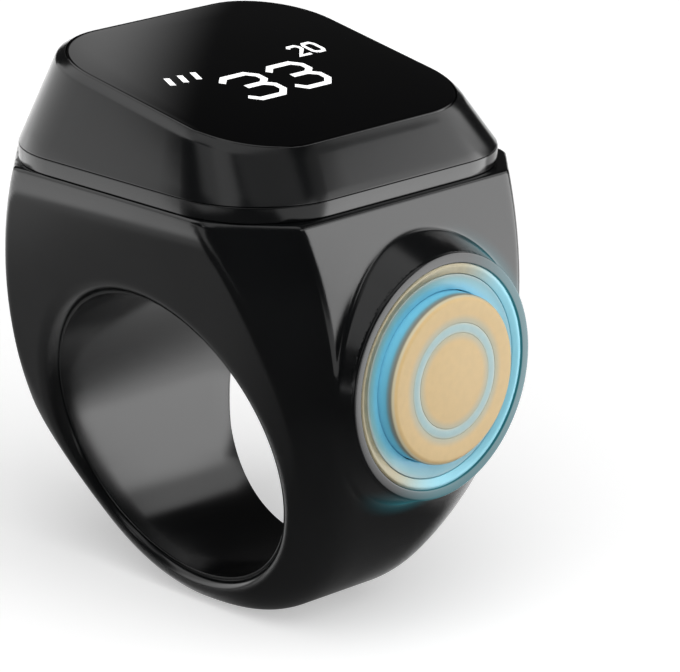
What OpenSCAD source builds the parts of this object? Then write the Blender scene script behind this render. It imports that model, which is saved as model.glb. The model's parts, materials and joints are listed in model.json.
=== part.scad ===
// Finger-ring digital counter: a ring body with a tilted screen on top and a
// round push button on its side. The finger hole runs along Y, the screen is
// at the top (+Z) and the button is on the +X side. Millimetres.
// The origin is the middle of the finger hole.

/* [Finger hole] */
// Inner diameter of the finger hole
finger_d = 20; // [18:0.5:22]
// Wall of the sleeve that lines the finger hole
liner_wall = 0.4; // [0.3:0.05:0.6]
// How far the sleeve's ends lie inside the body's flanks
liner_inset = 0.9; // [0.6:0.05:1.2]

/* [Ring body] */
// Wall of the shank below the finger
shank_wall = 1.8; // [1.6:0.1:3]
// Thickness beside the finger hole, at the widest place
side_wall = 5; // [4.6:0.1:6]
// Height of the widest place above the finger's axis
shoulder_z = 7.1; // [6:0.1:8]
// Radius of the sides' curve above the widest place
side_r = 23; // [20:0.5:30]
// Fullness of the lower curve on the plain side, 2 for an ellipse
plain_fullness = 1.9; // [1.8:0.05:2.4]
// Fullness of the lower curve on the button's side, 2 for an ellipse
button_fullness = 2.4; // [1.9:0.05:2.6]
// Thickness of the body above the finger hole
crown_h = 6.8; // [6.6:0.1:8]
// Depth of the body at its top, along the finger
body_depth = 26.2; // [25.6:0.1:28]
// Depth of the body at the height of the finger's axis
hip_depth = 17.3; // [16.5:0.1:18.5]
// Lean of the front and back flanks
flank_angle = 15.7; // [15:0.1:18]
// Width that the front corner facet beside the button takes off the front at the top
front_cut = 4.9; // [3.6:0.1:5.2]
// Turn of that facet from the button's side, 45 for halfway to the front
front_turn = 53; // [45:1:56]
// Radius of the curve that it follows downwards
front_curve_r = 38; // [30:1:44]
// Width that the front corner facet on the plain side takes off a side at the top
plain_cut = 4.1; // [3.4:0.1:4.4]
// Radius of the curve that it follows downwards
plain_curve_r = 36; // [28:1:40]
// Width that each back corner facet takes off a side at the top
back_cut = 3.5; // [2.8:0.1:4.2]
// Radius of the curve that the back corner facets follow downwards
back_curve_r = 36; // [28:1:40]
// Height of the corner facets' widest place above the finger's axis
corner_mid_z = 9.8; // [9:0.1:11]

/* [Head] */
// Step from the body's top edge in to the head, on the button's side
ledge_x = 0.35; // [0.2:0.05:0.6]
// Step from the body's top edge in to the head, at the front
ledge_y = 0.15; // [0.1:0.05:0.4]
// Corner radius of the head's foot
head_corner_r = 6.6; // [6:0.1:7]
// Height of the frame's band that shows between body and housing
band_h = 1.05; // [0.8:0.05:1.4]
// Height of the screen's middle above the body
head_h = 5.75; // [5.6:0.05:7]
// Wall of the housing beside the screws' room
housing_wall = 1.4; // [1.2:0.1:1.6]

/* [Screen] */
// Tilt of the screen towards the button's side
screen_tilt = 10; // [8:0.5:11]
// Shift of the screen towards the button's side
screen_shift = 0.27; // [0.1:0.01:0.4]
// Border of the cover glass beside the display panel, across the tilt
glass_margin_x = 3.95; // [3.7:0.05:4.2]
// Border of the cover glass beyond the display panel, along the finger
glass_margin_y = 2.7; // [2.5:0.05:2.9]
// Corner radius of the cover glass
glass_corner_r = 5.5; // [5:0.1:6]
// Thickness of the cover glass
glass_t = 1; // [0.8:0.05:1.1]
// Width of the bevel round the glass
bezel_w = 0.6; // [0.5:0.05:1]
// Drop of the bevel round the glass
bezel_drop = 0.45; // [0.3:0.05:0.6]
// Size of the display panel across the tilt
panel_w = 12.4; // [11:0.1:14]
// Size of the display panel along the finger
panel_depth = 16.4; // [14:0.1:17]
// Thickness of the display panel
panel_t = 1.2; // [1:0.05:1.3]

/* [Button] */
// Height of the button's axis above the finger's axis
button_z = 6.25; // [6:0.05:6.6]
// Outer diameter of the collar round the button
collar_d = 16; // [15.6:0.1:16.6]
// Stand of the collar beyond the body's widest place
collar_h = 1.2; // [1:0.05:1.6]
// Width of the collar's face
collar_wall = 0.65; // [0.5:0.05:0.9]
// Width of the metal trim ring inside the collar
trim_w = 0.7; // [0.5:0.05:0.8]
// Width of the lit ring between trim and button
light_w = 0.92; // [0.7:0.02:1]
// Stand of the button cap beyond the collar
cap_rise = 0.97; // [0.7:0.01:1.2]
// Inner diameter of the inlaid ring in the cap
inlay_d = 6.2; // [5.6:0.1:6.6]
// Width of the inlaid ring in the cap
inlay_w = 0.65; // [0.4:0.05:0.8]
// Travel of the button
button_travel = 0.35; // [0.2:0.05:0.4]
// Diameter of the button's stem
stem_d = 3; // [2.6:0.1:3.4]

/* [Battery] */
// Length of the battery, across the finger
battery_l = 14.6; // [13:0.1:15]
// Width of the battery, along the finger
battery_w = 12; // [10:0.1:13]
// Thickness of the battery
battery_t = 2.9; // [2.2:0.1:2.9]

/* [Board] */
// Thickness of the main board
board_t = 0.6; // [0.4:0.1:0.8]
// Diameter of the board screws' shanks
screw_d = 1.1; // [0.9:0.1:1.2]

/* [Motor] */
// Diameter of the vibration motor
motor_d = 8; // [7:0.1:8.4]
// Height of the vibration motor
motor_h = 2.5; // [2.2:0.1:2.7]

/* [Hidden] */
$fn = 64;
hull_fn = 32;

// Clearances and overruns
fit = 0.02;       // bonded or pressed faces
slide_fit = 0.06; // the stem in its guide
play = 0.1;       // loose seats
lip_step = 0.1;   // how far the body's lips stand outside the sleeve's bore
cut = 1;          // overrun of every cut
plate = 0.01;     // thickness of the slices that a hull joins

// Body
finger_r = finger_d / 2;
seat_r = finger_r + liner_wall + fit;
lip_r = finger_r + lip_step;
shank_r = finger_r + liner_wall + shank_wall;
side_x = finger_r + liner_wall + side_wall;
body_top = finger_r + liner_wall + crown_h;
hip = hip_depth / 2;
side_c = side_r - side_x;
top_angle = asin((body_top - shoulder_z) / side_r);
top_hx = side_r * cos(top_angle) - side_c;
top_hy = body_depth / 2;
outline_step = 5;
outline_steps = 6;
curve_fn = 256;

// Head
head_hx = top_hx - ledge_x;
head_hy = top_hy - ledge_y;
screen_z = body_top + head_h;
band_top = body_top + band_h;
spigot_hx = head_hx - housing_wall;
spigot_hy = head_hy - housing_wall;
spigot_r = head_corner_r - housing_wall;
spigot_h = 0.85;
rebate_h = 1.5;
rebate_z = body_top - rebate_h;
gasket_t = 0.2;
gasket_w = 1.1;
frame_wall = 1.25;
frame_ledge = 0.8;
cavity_inset = 0.8;

// Glass and display, in the screen's tilted frame
glass_hx = panel_w / 2 + glass_margin_x;
glass_hy = panel_depth / 2 + glass_margin_y;
tape_t = 0.15;
tape_w = 1.3;
sill_t = 0.9;
sill_w = 1.5;
sill_z = -glass_t - tape_t - sill_t;
bracket_t = 0.7;
bracket_lap = 0.35;
bracket_r = 3.2;
panel_z = -glass_t - fit;
flex_t = 0.15;
display_flex_w = 6;
display_flex_y = panel_depth / 2 - 0.8;
flex_run = 0.6;

// Board
board_drop = 0.6;
board_z = body_top - board_drop;
board_top = board_z + board_t;
board_hx = spigot_hx - frame_wall - play;
board_hy = spigot_hy - frame_wall - play;
board_r = spigot_r - frame_wall - play;
screw_inset = 2;
screw_x = board_hx - screw_inset;
screw_y = board_hy - screw_inset;
screw_head_r = 1.05;
screw_head_h = 0.45;
boss_r = 1.5;
chip_w = 5;
chip_t = 0.8;
chip_x = 4.2;
chip_y = -2.8;

// Battery bay
roof_wall = 1.78;
bay_z = seat_r + roof_wall;
bay_play = 0.5;
bay_hx = battery_l / 2 + bay_play;
bay_hy = battery_w / 2 + bay_play;
bay_r = 0.6;
charge_flex_t = 0.12;
battery_tape_t = 0.15;
battery_z = bay_z + charge_flex_t + battery_tape_t + 2 * fit;
battery_corner_r = 0.7;
lead_r = 0.2;

// Charging contacts in the roof of the finger hole
pin_y = 2.2;
pin_r = 0.8;
pin_recess = 0.06;
pin_flange_r = 1.2;
pin_flange_t = 0.3;
magnet_r = 1.2;
magnet_t = 1;
magnet_margin = 0.2;
magnet_y = battery_w / 2 - magnet_r - magnet_margin;
charge_flex_hw = 3.3;

// Button stack, along X from the collar's face inwards
collar_r = collar_d / 2;
collar_x = side_x + collar_h;
flare_lip = 0.3;
flare_r = 3.4;
flare_sweep = 45;
flare_step = 15;
well_r = collar_r - collar_wall;
trim_r = well_r - fit;
light_r = trim_r - trim_w - fit;
light_in_r = light_r - light_w;
cap_gap = 0.18;
cap_r = light_in_r - cap_gap;
cap_x = collar_x + cap_rise;
cap_t = 0.87;
cap_wall = 0.6;
cap_edge = 0.3;
trim_x = collar_x - 0.1;
trim_t = 1.3;
light_x = trim_x - 0.1;
light_dish = 0.35;
light_t = 0.75;
light_foot_w = 0.2;
trim_z = trim_x - trim_t;
led_board_t = 0.15;
led_board_x = trim_z - led_board_t;
led_l = 1;
led_w = 0.5;
led_t = 0.3;
bracket_x = led_board_x - fit;
bracket_plate_t = 0.8;
bracket_in_x = bracket_x - bracket_plate_t;
guide_r = 2.6;
guide_x = bracket_in_x - 0.45;
stem_r = stem_d / 2;
clip_t = 0.2;
clip_gap = 0.05;
clip_x = guide_x - clip_gap;
clip_r = 2.3;
clip_groove_r = 1.1;
stem_tip_x = clip_x - clip_t - 0.3;
seal_section_r = 0.29;
seal_r = stem_r + seal_section_r + slide_fit;
gland_r = seal_r + seal_section_r + fit;
gland_d = 2 * seal_section_r + 2 * fit;
plunger_r = 0.8;
plunger_stand = 0.35;
plunger_x = stem_tip_x - fit;
switch_w = 3.2;
switch_t = 0.6;
switch_x = plunger_x - plunger_stand;
pocket_x = switch_x - switch_t - flex_t - 2 * fit;
pocket_r = 4.4;
switch_flex_hw = 1.9;
flex_channel = 0.3;
flex_run_z = rebate_z - 0.55;
flex_rise_x = board_hx - 1.2;

// Button spring
wire_r = 0.1;
spring_r = 3;
spring_turns = 2.5;
spring_x0 = bracket_x + wire_r + fit;
spring_x1 = cap_x - cap_t - wire_r - fit;

// Vibration motor
motor_x = -4.4;
motor_z = board_top + fit;
can_wall = 0.25;
shaft_r = 0.3;
shaft_play = 0.04;
rotor_gap = 0.25;
rotor_t = 0.5;
hub_r = 0.8;
end_play = 0.08;
weight_t = 0.8;
weight_in_r = 1.6;

// Plane rounded rectangle from two bars and four discs
module rounded_rect(hx, hy, r) {
    square([2 * hx, 2 * (hy - r)], center = true);
    square([2 * (hx - r), 2 * hy], center = true);
    for (sx = [-1, 1], sy = [-1, 1])
        translate([sx * (hx - r), sy * (hy - r)])
            circle(r = r);
}

// Rounded plate from z0 to z1
module slab(hx, hy, r, z0, z1) {
    translate([0, 0, z0])
        linear_extrude(height = z1 - z0)
            rounded_rect(hx, hy, r);
}

// Block from one corner to the opposite one
module block(low, high) {
    translate(low)
        cube(high - low);
}

// The screen's frame: its origin is the middle of the glass's upper face
module on_screen() {
    translate([screen_shift, 0, screen_z])
        rotate([0, screen_tilt, 0])
            children();
}

// The button's frame: local Z runs outwards along +X, on the button's axis
module on_button() {
    translate([0, 0, button_z])
        rotate([0, 90, 0])
            children();
}

// Disc or rod on the button's axis from x0 to x1
module rod(r, x0, x1) {
    on_button()
        translate([0, 0, x0])
            cylinder(h = x1 - x0, r = r);
}

// Ring on the button's axis from x0 to x1
module washer(r_in, r_out, x0, x1) {
    difference() {
        rod(r_out, x0, x1);
        rod(r_in, x0 - cut, x1 + cut);
    }
}

// Points and faces of a tube that follows a path of 3 or more points
function unit(v) = v / norm(v);
function tube_tangent(path, i) =
    unit(path[min(i + 1, len(path) - 1)] - path[max(i - 1, 0)]);
function tube_side(t, up) = unit(cross(t, up));
function tube_points(path, r, sides, up) = [
    for (i = [0 : len(path) - 1])
        let (t = tube_tangent(path, i), u = tube_side(t, up), v = cross(u, t))
            for (k = [0 : sides - 1])
                path[i] + r * cos(360 * k / sides) * u + r * sin(360 * k / sides) * v
];
module tube(path, r, sides, up) {
    n = len(path);
    walls = [
        for (i = [0 : n - 2], k = [0 : sides - 1])
            let (a = i * sides + k, b = i * sides + (k + 1) % sides)
                for (face = [[a, b, b + sides], [a, b + sides, a + sides]]) face
    ];
    start = [for (k = [1 : sides - 2]) [0, k + 1, k]];
    last = (n - 1) * sides;
    end = [for (k = [1 : sides - 2]) [last, last + k, last + k + 1]];
    polyhedron(tube_points(path, r, sides, up), concat(walls, start, end));
}

// Front view of the body: side arcs above the widest place, and below it a
// rounded quarter on each side that meets the other one under the finger
function upper_side(sign) = [
    for (i = [0 : outline_steps])
        let (a = top_angle * i / outline_steps)
            [sign * (side_r * cos(a) - side_c), shoulder_z + side_r * sin(a)]
];
function lower_side(sign, fullness) = [
    for (a = [90 : -outline_step : outline_step])
        [
            sign * side_x * pow(cos(a), 2 / fullness),
            shoulder_z - (shoulder_z + shank_r) * pow(sin(a), 2 / fullness)
        ]
];
function reversed(list) = [for (i = [len(list) - 1 : -1 : 0]) list[i]];
module body_outline() {
    right = concat(lower_side(1, button_fullness), upper_side(1));
    left = concat(lower_side(-1, plain_fullness), upper_side(-1));
    polygon(concat(right, reversed([for (i = [1 : len(left) - 1]) left[i]])));
}

// Side view of the body: flanks that lean in downwards, upright near the top
module flank_outline(inset) {
    low = -shank_r - cut;
    low_y = hip + low * tan(flank_angle) - inset;
    knee_z = (top_hy - hip) / tan(flank_angle);
    y = top_hy - inset;
    polygon([
        [-low_y, low], [low_y, low], [y, knee_z], [y, body_top + cut],
        [-y, body_top + cut], [-y, knee_z]
    ]);
}
module flank_wedge(inset) {
    rotate([90, 0, 90])
        linear_extrude(height = 4 * side_x, center = true)
            flank_outline(inset);
}

// Round prism whose far side is one corner facet. It lies across the way that
// the facet faces, which is turned from a side of the body by the given angle.
module facet_prism(way, turn, cut_w, curve_r) {
    facet_top = (top_hx - cut_w) * cos(turn) + top_hy * sin(turn);
    centre = facet_top - sqrt(curve_r * curve_r - pow(body_top - corner_mid_z, 2));
    rotate([90, 0, way])
        linear_extrude(height = 4 * side_x, center = true)
            translate([centre, corner_mid_z])
                circle(r = curve_r, $fn = curve_fn);
}

// Boss round the button, flared where it meets the body
module button_boss() {
    start_x = collar_x - flare_lip;
    on_button()
        rotate_extrude()
            polygon(concat(
                [[0, seat_r], [collar_r + flare_r * (1 - cos(flare_sweep)), seat_r]],
                [
                    for (a = [flare_sweep : -flare_step : 0])
                        [collar_r + flare_r * (1 - cos(a)), start_x - flare_r * sin(a)]
                ],
                [[collar_r, collar_x], [0, collar_x]]
            ));
}

// Shallow round seat and through hole for one charging pin
module pin_hole(y) {
    translate([0, y, finger_r / 2])
        cylinder(h = bay_z - finger_r / 2 + cut, r = pin_r + fit);
    translate([0, y, bay_z - pin_flange_t - play])
        cylinder(h = pin_flange_t + play + cut, r = pin_flange_r + fit);
}

module ring_body() {
    color("#1d1e20")
        difference() {
            union() {
                intersection() {
                    rotate([90, 0, 0])
                        linear_extrude(height = body_depth, center = true)
                            body_outline();
                    flank_wedge(0);
                    facet_prism(-front_turn, front_turn, front_cut, front_curve_r);
                    facet_prism(-135, 45, plain_cut, plain_curve_r);
                    facet_prism(45, 45, back_cut, back_curve_r);
                    facet_prism(135, 45, back_cut, back_curve_r);
                }
                intersection() {
                    button_boss();
                    flank_wedge(0);
                }
            }
            // The body is moulded over the sleeve, so a lip of it holds each end
            rotate([90, 0, 0])
                cylinder(h = body_depth + 2 * cut, r = lip_r, center = true);
            intersection() {
                rotate([90, 0, 0])
                    cylinder(h = body_depth, r = seat_r, center = true);
                flank_wedge(liner_inset - fit);
            }
            slab(spigot_hx + fit, spigot_hy + fit, spigot_r, rebate_z, body_top + cut);
            slab(bay_hx, bay_hy, bay_r, bay_z, rebate_z + cut);
            rod(well_r, bracket_in_x, collar_x + cut);
            rod(pocket_r, pocket_x, bracket_in_x + cut);
            // Way for the switch's flex, up beside the button and across to the board
            block(
                [pocket_x, -switch_flex_hw - play, button_z],
                [pocket_x + flex_t + flex_channel, switch_flex_hw + play, rebate_z + play]
            );
            block(
                [bay_hx - cut, -switch_flex_hw - play, flex_run_z - play],
                [pocket_x + flex_t + flex_channel, switch_flex_hw + play, rebate_z + play]
            );
            for (side = [-1, 1]) {
                pin_hole(side * pin_y);
                translate([0, side * magnet_y, bay_z - magnet_t - play])
                    cylinder(h = magnet_t + play + cut, r = magnet_r + fit);
            }
        }
}

module finger_liner() {
    color("#2a2b2d")
        difference() {
            intersection() {
                rotate([90, 0, 0])
                    cylinder(h = body_depth, r = seat_r - fit, center = true);
                flank_wedge(liner_inset);
            }
            rotate([90, 0, 0])
                cylinder(h = body_depth + 2 * cut, r = finger_r, center = true);
            for (side = [-1, 1])
                translate([0, side * pin_y, finger_r / 2])
                    cylinder(h = finger_r, r = pin_r + fit);
        }
}

module body_gasket() {
    color("#3a3a3c")
        difference() {
            slab(spigot_hx - play, spigot_hy - play, spigot_r - play,
                rebate_z, rebate_z + gasket_t);
            slab(spigot_hx - play - gasket_w, spigot_hy - play - gasket_w,
                spigot_r - play - gasket_w, rebate_z - cut, rebate_z + gasket_t + cut);
        }
}

// Places a child at the four board screws
module at_screws() {
    for (sx = [-1, 1], sy = [-1, 1])
        translate([sx * screw_x, sy * screw_y, 0])
            children();
}

module head_frame() {
    foot = rebate_z + gasket_t;
    color("#1b1c1e")
        difference() {
            union() {
                slab(spigot_hx - fit, spigot_hy - fit, spigot_r, foot, body_top);
                slab(head_hx, head_hy, head_corner_r, body_top, band_top);
                slab(spigot_hx - play, spigot_hy - play, spigot_r - play,
                    band_top, band_top + spigot_h);
            }
            slab(spigot_hx - frame_wall, spigot_hy - frame_wall, spigot_r - frame_wall,
                board_z, band_top + spigot_h + cut);
            difference() {
                slab(spigot_hx - frame_wall - frame_ledge, spigot_hy - frame_wall - frame_ledge,
                    spigot_r - frame_wall - frame_ledge, foot - cut, board_z + cut);
                at_screws()
                    translate([0, 0, foot - 2 * cut])
                        cylinder(h = board_z - foot + 4 * cut, r = boss_r);
            }
            at_screws()
                translate([0, 0, foot - cut])
                    cylinder(h = band_h + 4 * cut, r = screw_d / 2 + fit);
        }
}

// Thin rounded slice, for hulls
module slice(hx, hy, r, z) {
    translate([0, 0, z])
        linear_extrude(height = plate)
            rounded_rect(hx, hy, r, $fn = hull_fn);
}

module head_housing() {
    sill_hx = glass_hx - sill_w;
    sill_hy = glass_hy - sill_w;
    color("#1d1e20")
        difference() {
            hull() {
                slice(head_hx, head_hy, head_corner_r, band_top);
                on_screen()
                    slice(glass_hx + bezel_w, glass_hy + bezel_w, glass_corner_r + bezel_w,
                        -bezel_drop - plate);
                on_screen()
                    slice(glass_hx, glass_hy, glass_corner_r, -plate);
            }
            hull() {
                slice(spigot_hx - cavity_inset, spigot_hy - cavity_inset,
                    spigot_r - cavity_inset, band_top - plate);
                on_screen()
                    slice(sill_hx + 2 * bracket_lap, sill_hy + 2 * bracket_lap,
                        bracket_r + bracket_lap, sill_z - plate);
            }
            slab(spigot_hx - fit, spigot_hy - fit, spigot_r - fit,
                band_top - cut, band_top + spigot_h + play);
            on_screen() {
                slab(glass_hx + fit, glass_hy + fit, glass_corner_r + fit,
                    -glass_t - tape_t, cut);
                slab(sill_hx, sill_hy, bracket_r, sill_z - cut, cut);
            }
        }
}

module cover_glass() {
    color("#050507")
        on_screen()
            slab(glass_hx, glass_hy, glass_corner_r, -glass_t, 0);
}

module glass_adhesive() {
    color("#101010")
        on_screen()
            difference() {
                slab(glass_hx - play, glass_hy - play, glass_corner_r - play,
                    -glass_t - tape_t, -glass_t);
                slab(glass_hx - play - tape_w, glass_hy - play - tape_w,
                    glass_corner_r - play - tape_w, -glass_t - tape_t - cut, -glass_t + cut);
            }
}

module oled_panel() {
    color("#0c0d12")
        on_screen()
            block([-panel_w / 2, -panel_depth / 2, panel_z - panel_t],
                [panel_w / 2, panel_depth / 2, panel_z]);
}

module display_bracket() {
    top = sill_z - fit;
    color("#2c2d30")
        on_screen()
            difference() {
                slab(glass_hx - sill_w + bracket_lap, glass_hy - sill_w + bracket_lap,
                    bracket_r, top - bracket_t, top);
                block([-panel_w / 2 - play, -panel_depth / 2 - play, panel_z - panel_t - fit],
                    [panel_w / 2 + play, panel_depth / 2 + play, cut]);
                block([-display_flex_w / 2 - play, display_flex_y - flex_run, top - bracket_t - cut],
                    [display_flex_w / 2 + play, display_flex_y + flex_t + play, cut]);
            }
}

// Short run bonded under the panel's end, then down through the bracket's slot
module display_flex() {
    run_z = panel_z - panel_t - fit;
    color("#b8702a")
        difference() {
            on_screen() {
                block([-display_flex_w / 2, display_flex_y - flex_run + play, run_z - flex_t],
                    [display_flex_w / 2, display_flex_y + flex_t, run_z]);
                block([-display_flex_w / 2, display_flex_y, -head_h],
                    [display_flex_w / 2, display_flex_y + flex_t, run_z]);
            }
            block([-side_x, -side_x, 0], [side_x, side_x, board_top + fit]);
        }
}

module main_board() {
    color("#14532d")
        difference() {
            slab(board_hx, board_hy, board_r, board_z, board_top);
            at_screws()
                translate([0, 0, board_z - cut])
                    cylinder(h = board_t + 2 * cut, r = screw_d / 2 + play / 2);
        }
}

module board_screws() {
    color("silver")
        at_screws()
            difference() {
                union() {
                    translate([0, 0, rebate_z + gasket_t])
                        cylinder(h = board_top - rebate_z - gasket_t + fit, r = screw_d / 2);
                    translate([0, 0, board_top + fit])
                        cylinder(h = screw_head_h, r = screw_head_r);
                }
                // Cross recess
                for (turn = [0, 90])
                    rotate([0, 0, turn])
                        translate([-screw_head_r * 0.6, -screw_head_r * 0.12, board_top + screw_head_h / 2])
                            cube([screw_head_r * 1.2, screw_head_r * 0.24, cut]);
            }
}

module bluetooth_chip() {
    color("#26272b")
        block([chip_x - chip_w / 2, chip_y - chip_w / 2, board_top + fit],
            [chip_x + chip_w / 2, chip_y + chip_w / 2, board_top + fit + chip_t]);
}

// Small parts on the board: centre x, centre y, length and width as shares of
// the board's half sizes, and height as a share of the chip's
upper_part_shares = [
    [0.351, 0.466, 0.251, 0.157, 0.8], [0.628, 0.466, 0.161, 0.098, 0.6],
    [0.422, 0.686, 0.281, 0.196, 0.7], [0.653, 0.662, 0.1, 0.059, 0.5],
    [0.602, 0.833, 0.1, 0.059, 0.5], [0.05, -0.686, 0.151, 0.147, 0.9]
];
lower_part_shares = [
    [-0.452, 0.662, 0.201, 0.196, 0.7], [0.452, 0.662, 0.201, 0.147, 0.6],
    [-0.151, 0.711, 0.1, 0.059, 0.5], [0.151, 0.711, 0.1, 0.059, 0.5]
];
module small_part(s, z) {
    translate([s[0] * board_hx, s[1] * board_hy, z])
        cube([s[2] * board_hx, s[3] * board_hy, s[4] * chip_t], center = true);
}
module board_parts() {
    color("#5a5040") {
        for (s = upper_part_shares)
            small_part(s, board_top + fit + s[4] * chip_t / 2);
        for (s = lower_part_shares)
            small_part(s, board_z - fit - s[4] * chip_t / 2);
    }
}

module battery() {
    color("#c9ccd0")
        slab(battery_l / 2, battery_w / 2, battery_corner_r, battery_z, battery_z + battery_t);
}

module battery_tape() {
    color("#e8e4d8")
        block([-battery_l / 2, -battery_w / 2, battery_z - fit - battery_tape_t],
            [battery_l / 2, battery_w / 2, battery_z - fit]);
}

// Two short leads from the battery's end up to the board
module battery_leads() {
    start_z = battery_z + battery_t + fit;
    rise = board_z - start_z;
    out = 2 * battery_corner_r;
    y = -battery_w / 2 + battery_corner_r;
    for (side = [-1, 1])
        color(side > 0 ? "#b3261e" : "#1a1a1a")
            translate([side * 3 * lead_r, y, 0])
                tube([
                    [0, 0, start_z], [0, 0, start_z + rise * 0.3],
                    [0, -out * 0.3, start_z + rise * 0.5],
                    [0, -out * 0.7, start_z + rise * 0.55],
                    [0, -out, start_z + rise * 0.75], [0, -out, board_z - fit]
                ], lead_r, 8, [1, 0, 0]);
}

module motor_can() {
    r = motor_d / 2;
    color("silver")
        translate([motor_x, 0, motor_z])
            difference() {
                cylinder(h = motor_h, r = r);
                translate([0, 0, can_wall])
                    cylinder(h = motor_h - 2 * can_wall, r = r - can_wall);
                translate([0, 0, -cut])
                    cylinder(h = motor_h + 2 * cut, r = shaft_r + fit);
            }
}

module motor_shaft() {
    color("#9fa3a8")
        translate([motor_x, 0, motor_z])
            cylinder(h = motor_h, r = shaft_r);
}

module motor_rotor() {
    low = can_wall + end_play;
    color("#8a5a2b")
        translate([motor_x, 0, motor_z])
            difference() {
                union() {
                    translate([0, 0, low])
                        cylinder(h = motor_h - 2 * low, r = hub_r);
                    translate([0, 0, low])
                        cylinder(h = rotor_t, r = motor_d / 2 - can_wall - rotor_gap);
                }
                cylinder(h = motor_h, r = shaft_r + shaft_play);
            }
}

// Half ring of dense metal that makes the rotor lopsided
module motor_weight() {
    low = can_wall + end_play + rotor_t + fit;
    r = motor_d / 2 - can_wall - rotor_gap;
    color("#6d7075")
        translate([motor_x, 0, motor_z + low])
            difference() {
                cylinder(h = weight_t, r = r);
                translate([0, 0, -cut])
                    cylinder(h = weight_t + 2 * cut, r = weight_in_r);
                translate([0, -r - cut, -cut])
                    cube([r + cut, 2 * (r + cut), weight_t + 2 * cut]);
            }
}

module charging_pins() {
    tip = finger_r + pin_recess;
    flange_z = bay_z - pin_flange_t - fit;
    color("#d9b25a")
        for (side = [-1, 1])
            translate([0, side * pin_y, 0]) {
                translate([0, 0, tip])
                    cylinder(h = bay_z - fit - tip, r = pin_r);
                translate([0, 0, flange_z])
                    cylinder(h = pin_flange_t, r = pin_flange_r);
            }
}

module charging_flex() {
    wall_x = -bay_hx + play;
    color("#b8702a") {
        block([wall_x, -charge_flex_hw, bay_z], [pin_flange_r, charge_flex_hw, bay_z + charge_flex_t]);
        block([wall_x, -charge_flex_hw, bay_z],
            [wall_x + charge_flex_t, charge_flex_hw, board_z - fit]);
    }
}

module charger_magnets() {
    color("#b9bcc2")
        for (side = [-1, 1])
            translate([0, side * magnet_y, bay_z - magnet_t - fit])
                cylinder(h = magnet_t, r = magnet_r);
}

module button_bracket() {
    color("#2c2d30")
        difference() {
            union() {
                rod(well_r - fit, bracket_in_x, bracket_x);
                rod(guide_r, guide_x, bracket_x);
            }
            rod(stem_r + slide_fit, guide_x - cut, bracket_x + cut);
            rod(gland_r, bracket_x - gland_d, bracket_x + cut);
        }
}

module button_trim_ring() {
    bevel = trim_w / 3;
    color("#d8c08c")
        on_button()
            rotate_extrude()
                polygon([
                    [trim_r - trim_w, trim_z], [trim_r, trim_z], [trim_r, trim_x - bevel],
                    [trim_r - bevel, trim_x], [trim_r - trim_w, trim_x - bevel]
                ]);
}

module led_board() {
    color("#14532d")
        washer(light_in_r, well_r - fit, led_board_x, trim_z - fit);
}

module button_leds() {
    low = trim_z;
    mid_r = (light_in_r + light_r - light_foot_w) / 2;
    color("#f2f6f7")
        on_button()
            for (turn = [45 : 90 : 315])
                rotate([0, 0, turn])
                    translate([mid_r - led_w / 2, -led_l / 2, low])
                        cube([led_w, led_l, led_t]);
}

module light_ring() {
    low = light_x - light_t;
    color("#6cc4dc")
        on_button()
            rotate_extrude()
                polygon([
                    [light_in_r, low], [light_r - light_foot_w, low],
                    [light_r - light_foot_w, trim_z], [light_r, trim_z],
                    [light_r, light_x], [light_in_r, light_x - light_dish]
                ]);
}

module button_cap() {
    skirt_x = bracket_x + button_travel + clip_gap;
    color("#dcc394")
        difference() {
            on_button()
                rotate_extrude()
                    polygon([
                        [0, stem_tip_x], [plunger_r, stem_tip_x],
                        [stem_r, stem_tip_x + (clip_x - clip_t - stem_tip_x) / 2],
                        [stem_r, clip_x - clip_t - fit], [clip_groove_r, clip_x - clip_t - fit],
                        [clip_groove_r, clip_x + fit], [stem_r, clip_x + fit],
                        [stem_r, cap_x - cap_t], [cap_r - cap_wall, cap_x - cap_t],
                        [cap_r - cap_wall, skirt_x], [cap_r, skirt_x],
                        [cap_r, cap_x - cap_edge], [cap_r - cap_edge, cap_x], [0, cap_x]
                    ]);
            washer(inlay_d / 2, inlay_d / 2 + inlay_w, cap_x - cap_t / 2, cap_x + cut);
        }
}

module button_inlay_ring() {
    color("#8cc6cf")
        washer(inlay_d / 2 + fit, inlay_d / 2 + inlay_w - fit,
            cap_x - cap_t / 2 + fit, cap_x - cap_edge / 3);
}

module button_spring() {
    steps = 16;
    n = spring_turns * steps;
    path = [
        for (i = [0 : n])
            let (a = 360 * i / steps)
                [
                    spring_x0 + (spring_x1 - spring_x0) * i / n,
                    spring_r * cos(a),
                    button_z + spring_r * sin(a)
                ]
    ];
    turn_gap = min([
        for (i = [0 : n], j = [0 : n])
            if (j - i > steps / 2) norm(path[j] - path[i]) - 2 * wire_r
    ]);
    echo(button_spring_least_gap = turn_gap);
    color("silver")
        tube(path, wire_r, 6, [1, 0, 0]);
}

module stem_clip() {
    color("#c4c7cc")
        difference() {
            washer(clip_groove_r + fit, clip_r, clip_x - clip_t, clip_x);
            block([clip_x - clip_t - cut, -clip_groove_r * 0.8, button_z - clip_r - cut],
                [clip_x + cut, clip_groove_r * 0.8, button_z]);
        }
}

module stem_seal() {
    color("#30302f")
        on_button()
            translate([0, 0, bracket_x - fit - seal_section_r])
                rotate_extrude()
                    translate([seal_r, 0])
                        circle(r = seal_section_r);
}

module tact_switch() {
    color("#3b3d42")
        difference() {
            block([switch_x - switch_t, -switch_w / 2, button_z - switch_w / 2],
                [switch_x, switch_w / 2, button_z + switch_w / 2]);
            rod(plunger_r + slide_fit, switch_x - switch_t + slide_fit, switch_x + cut);
        }
}

module switch_plunger() {
    color("#e9e4d4")
        rod(plunger_r, switch_x - switch_t + slide_fit + button_travel + fit, plunger_x);
}

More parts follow.
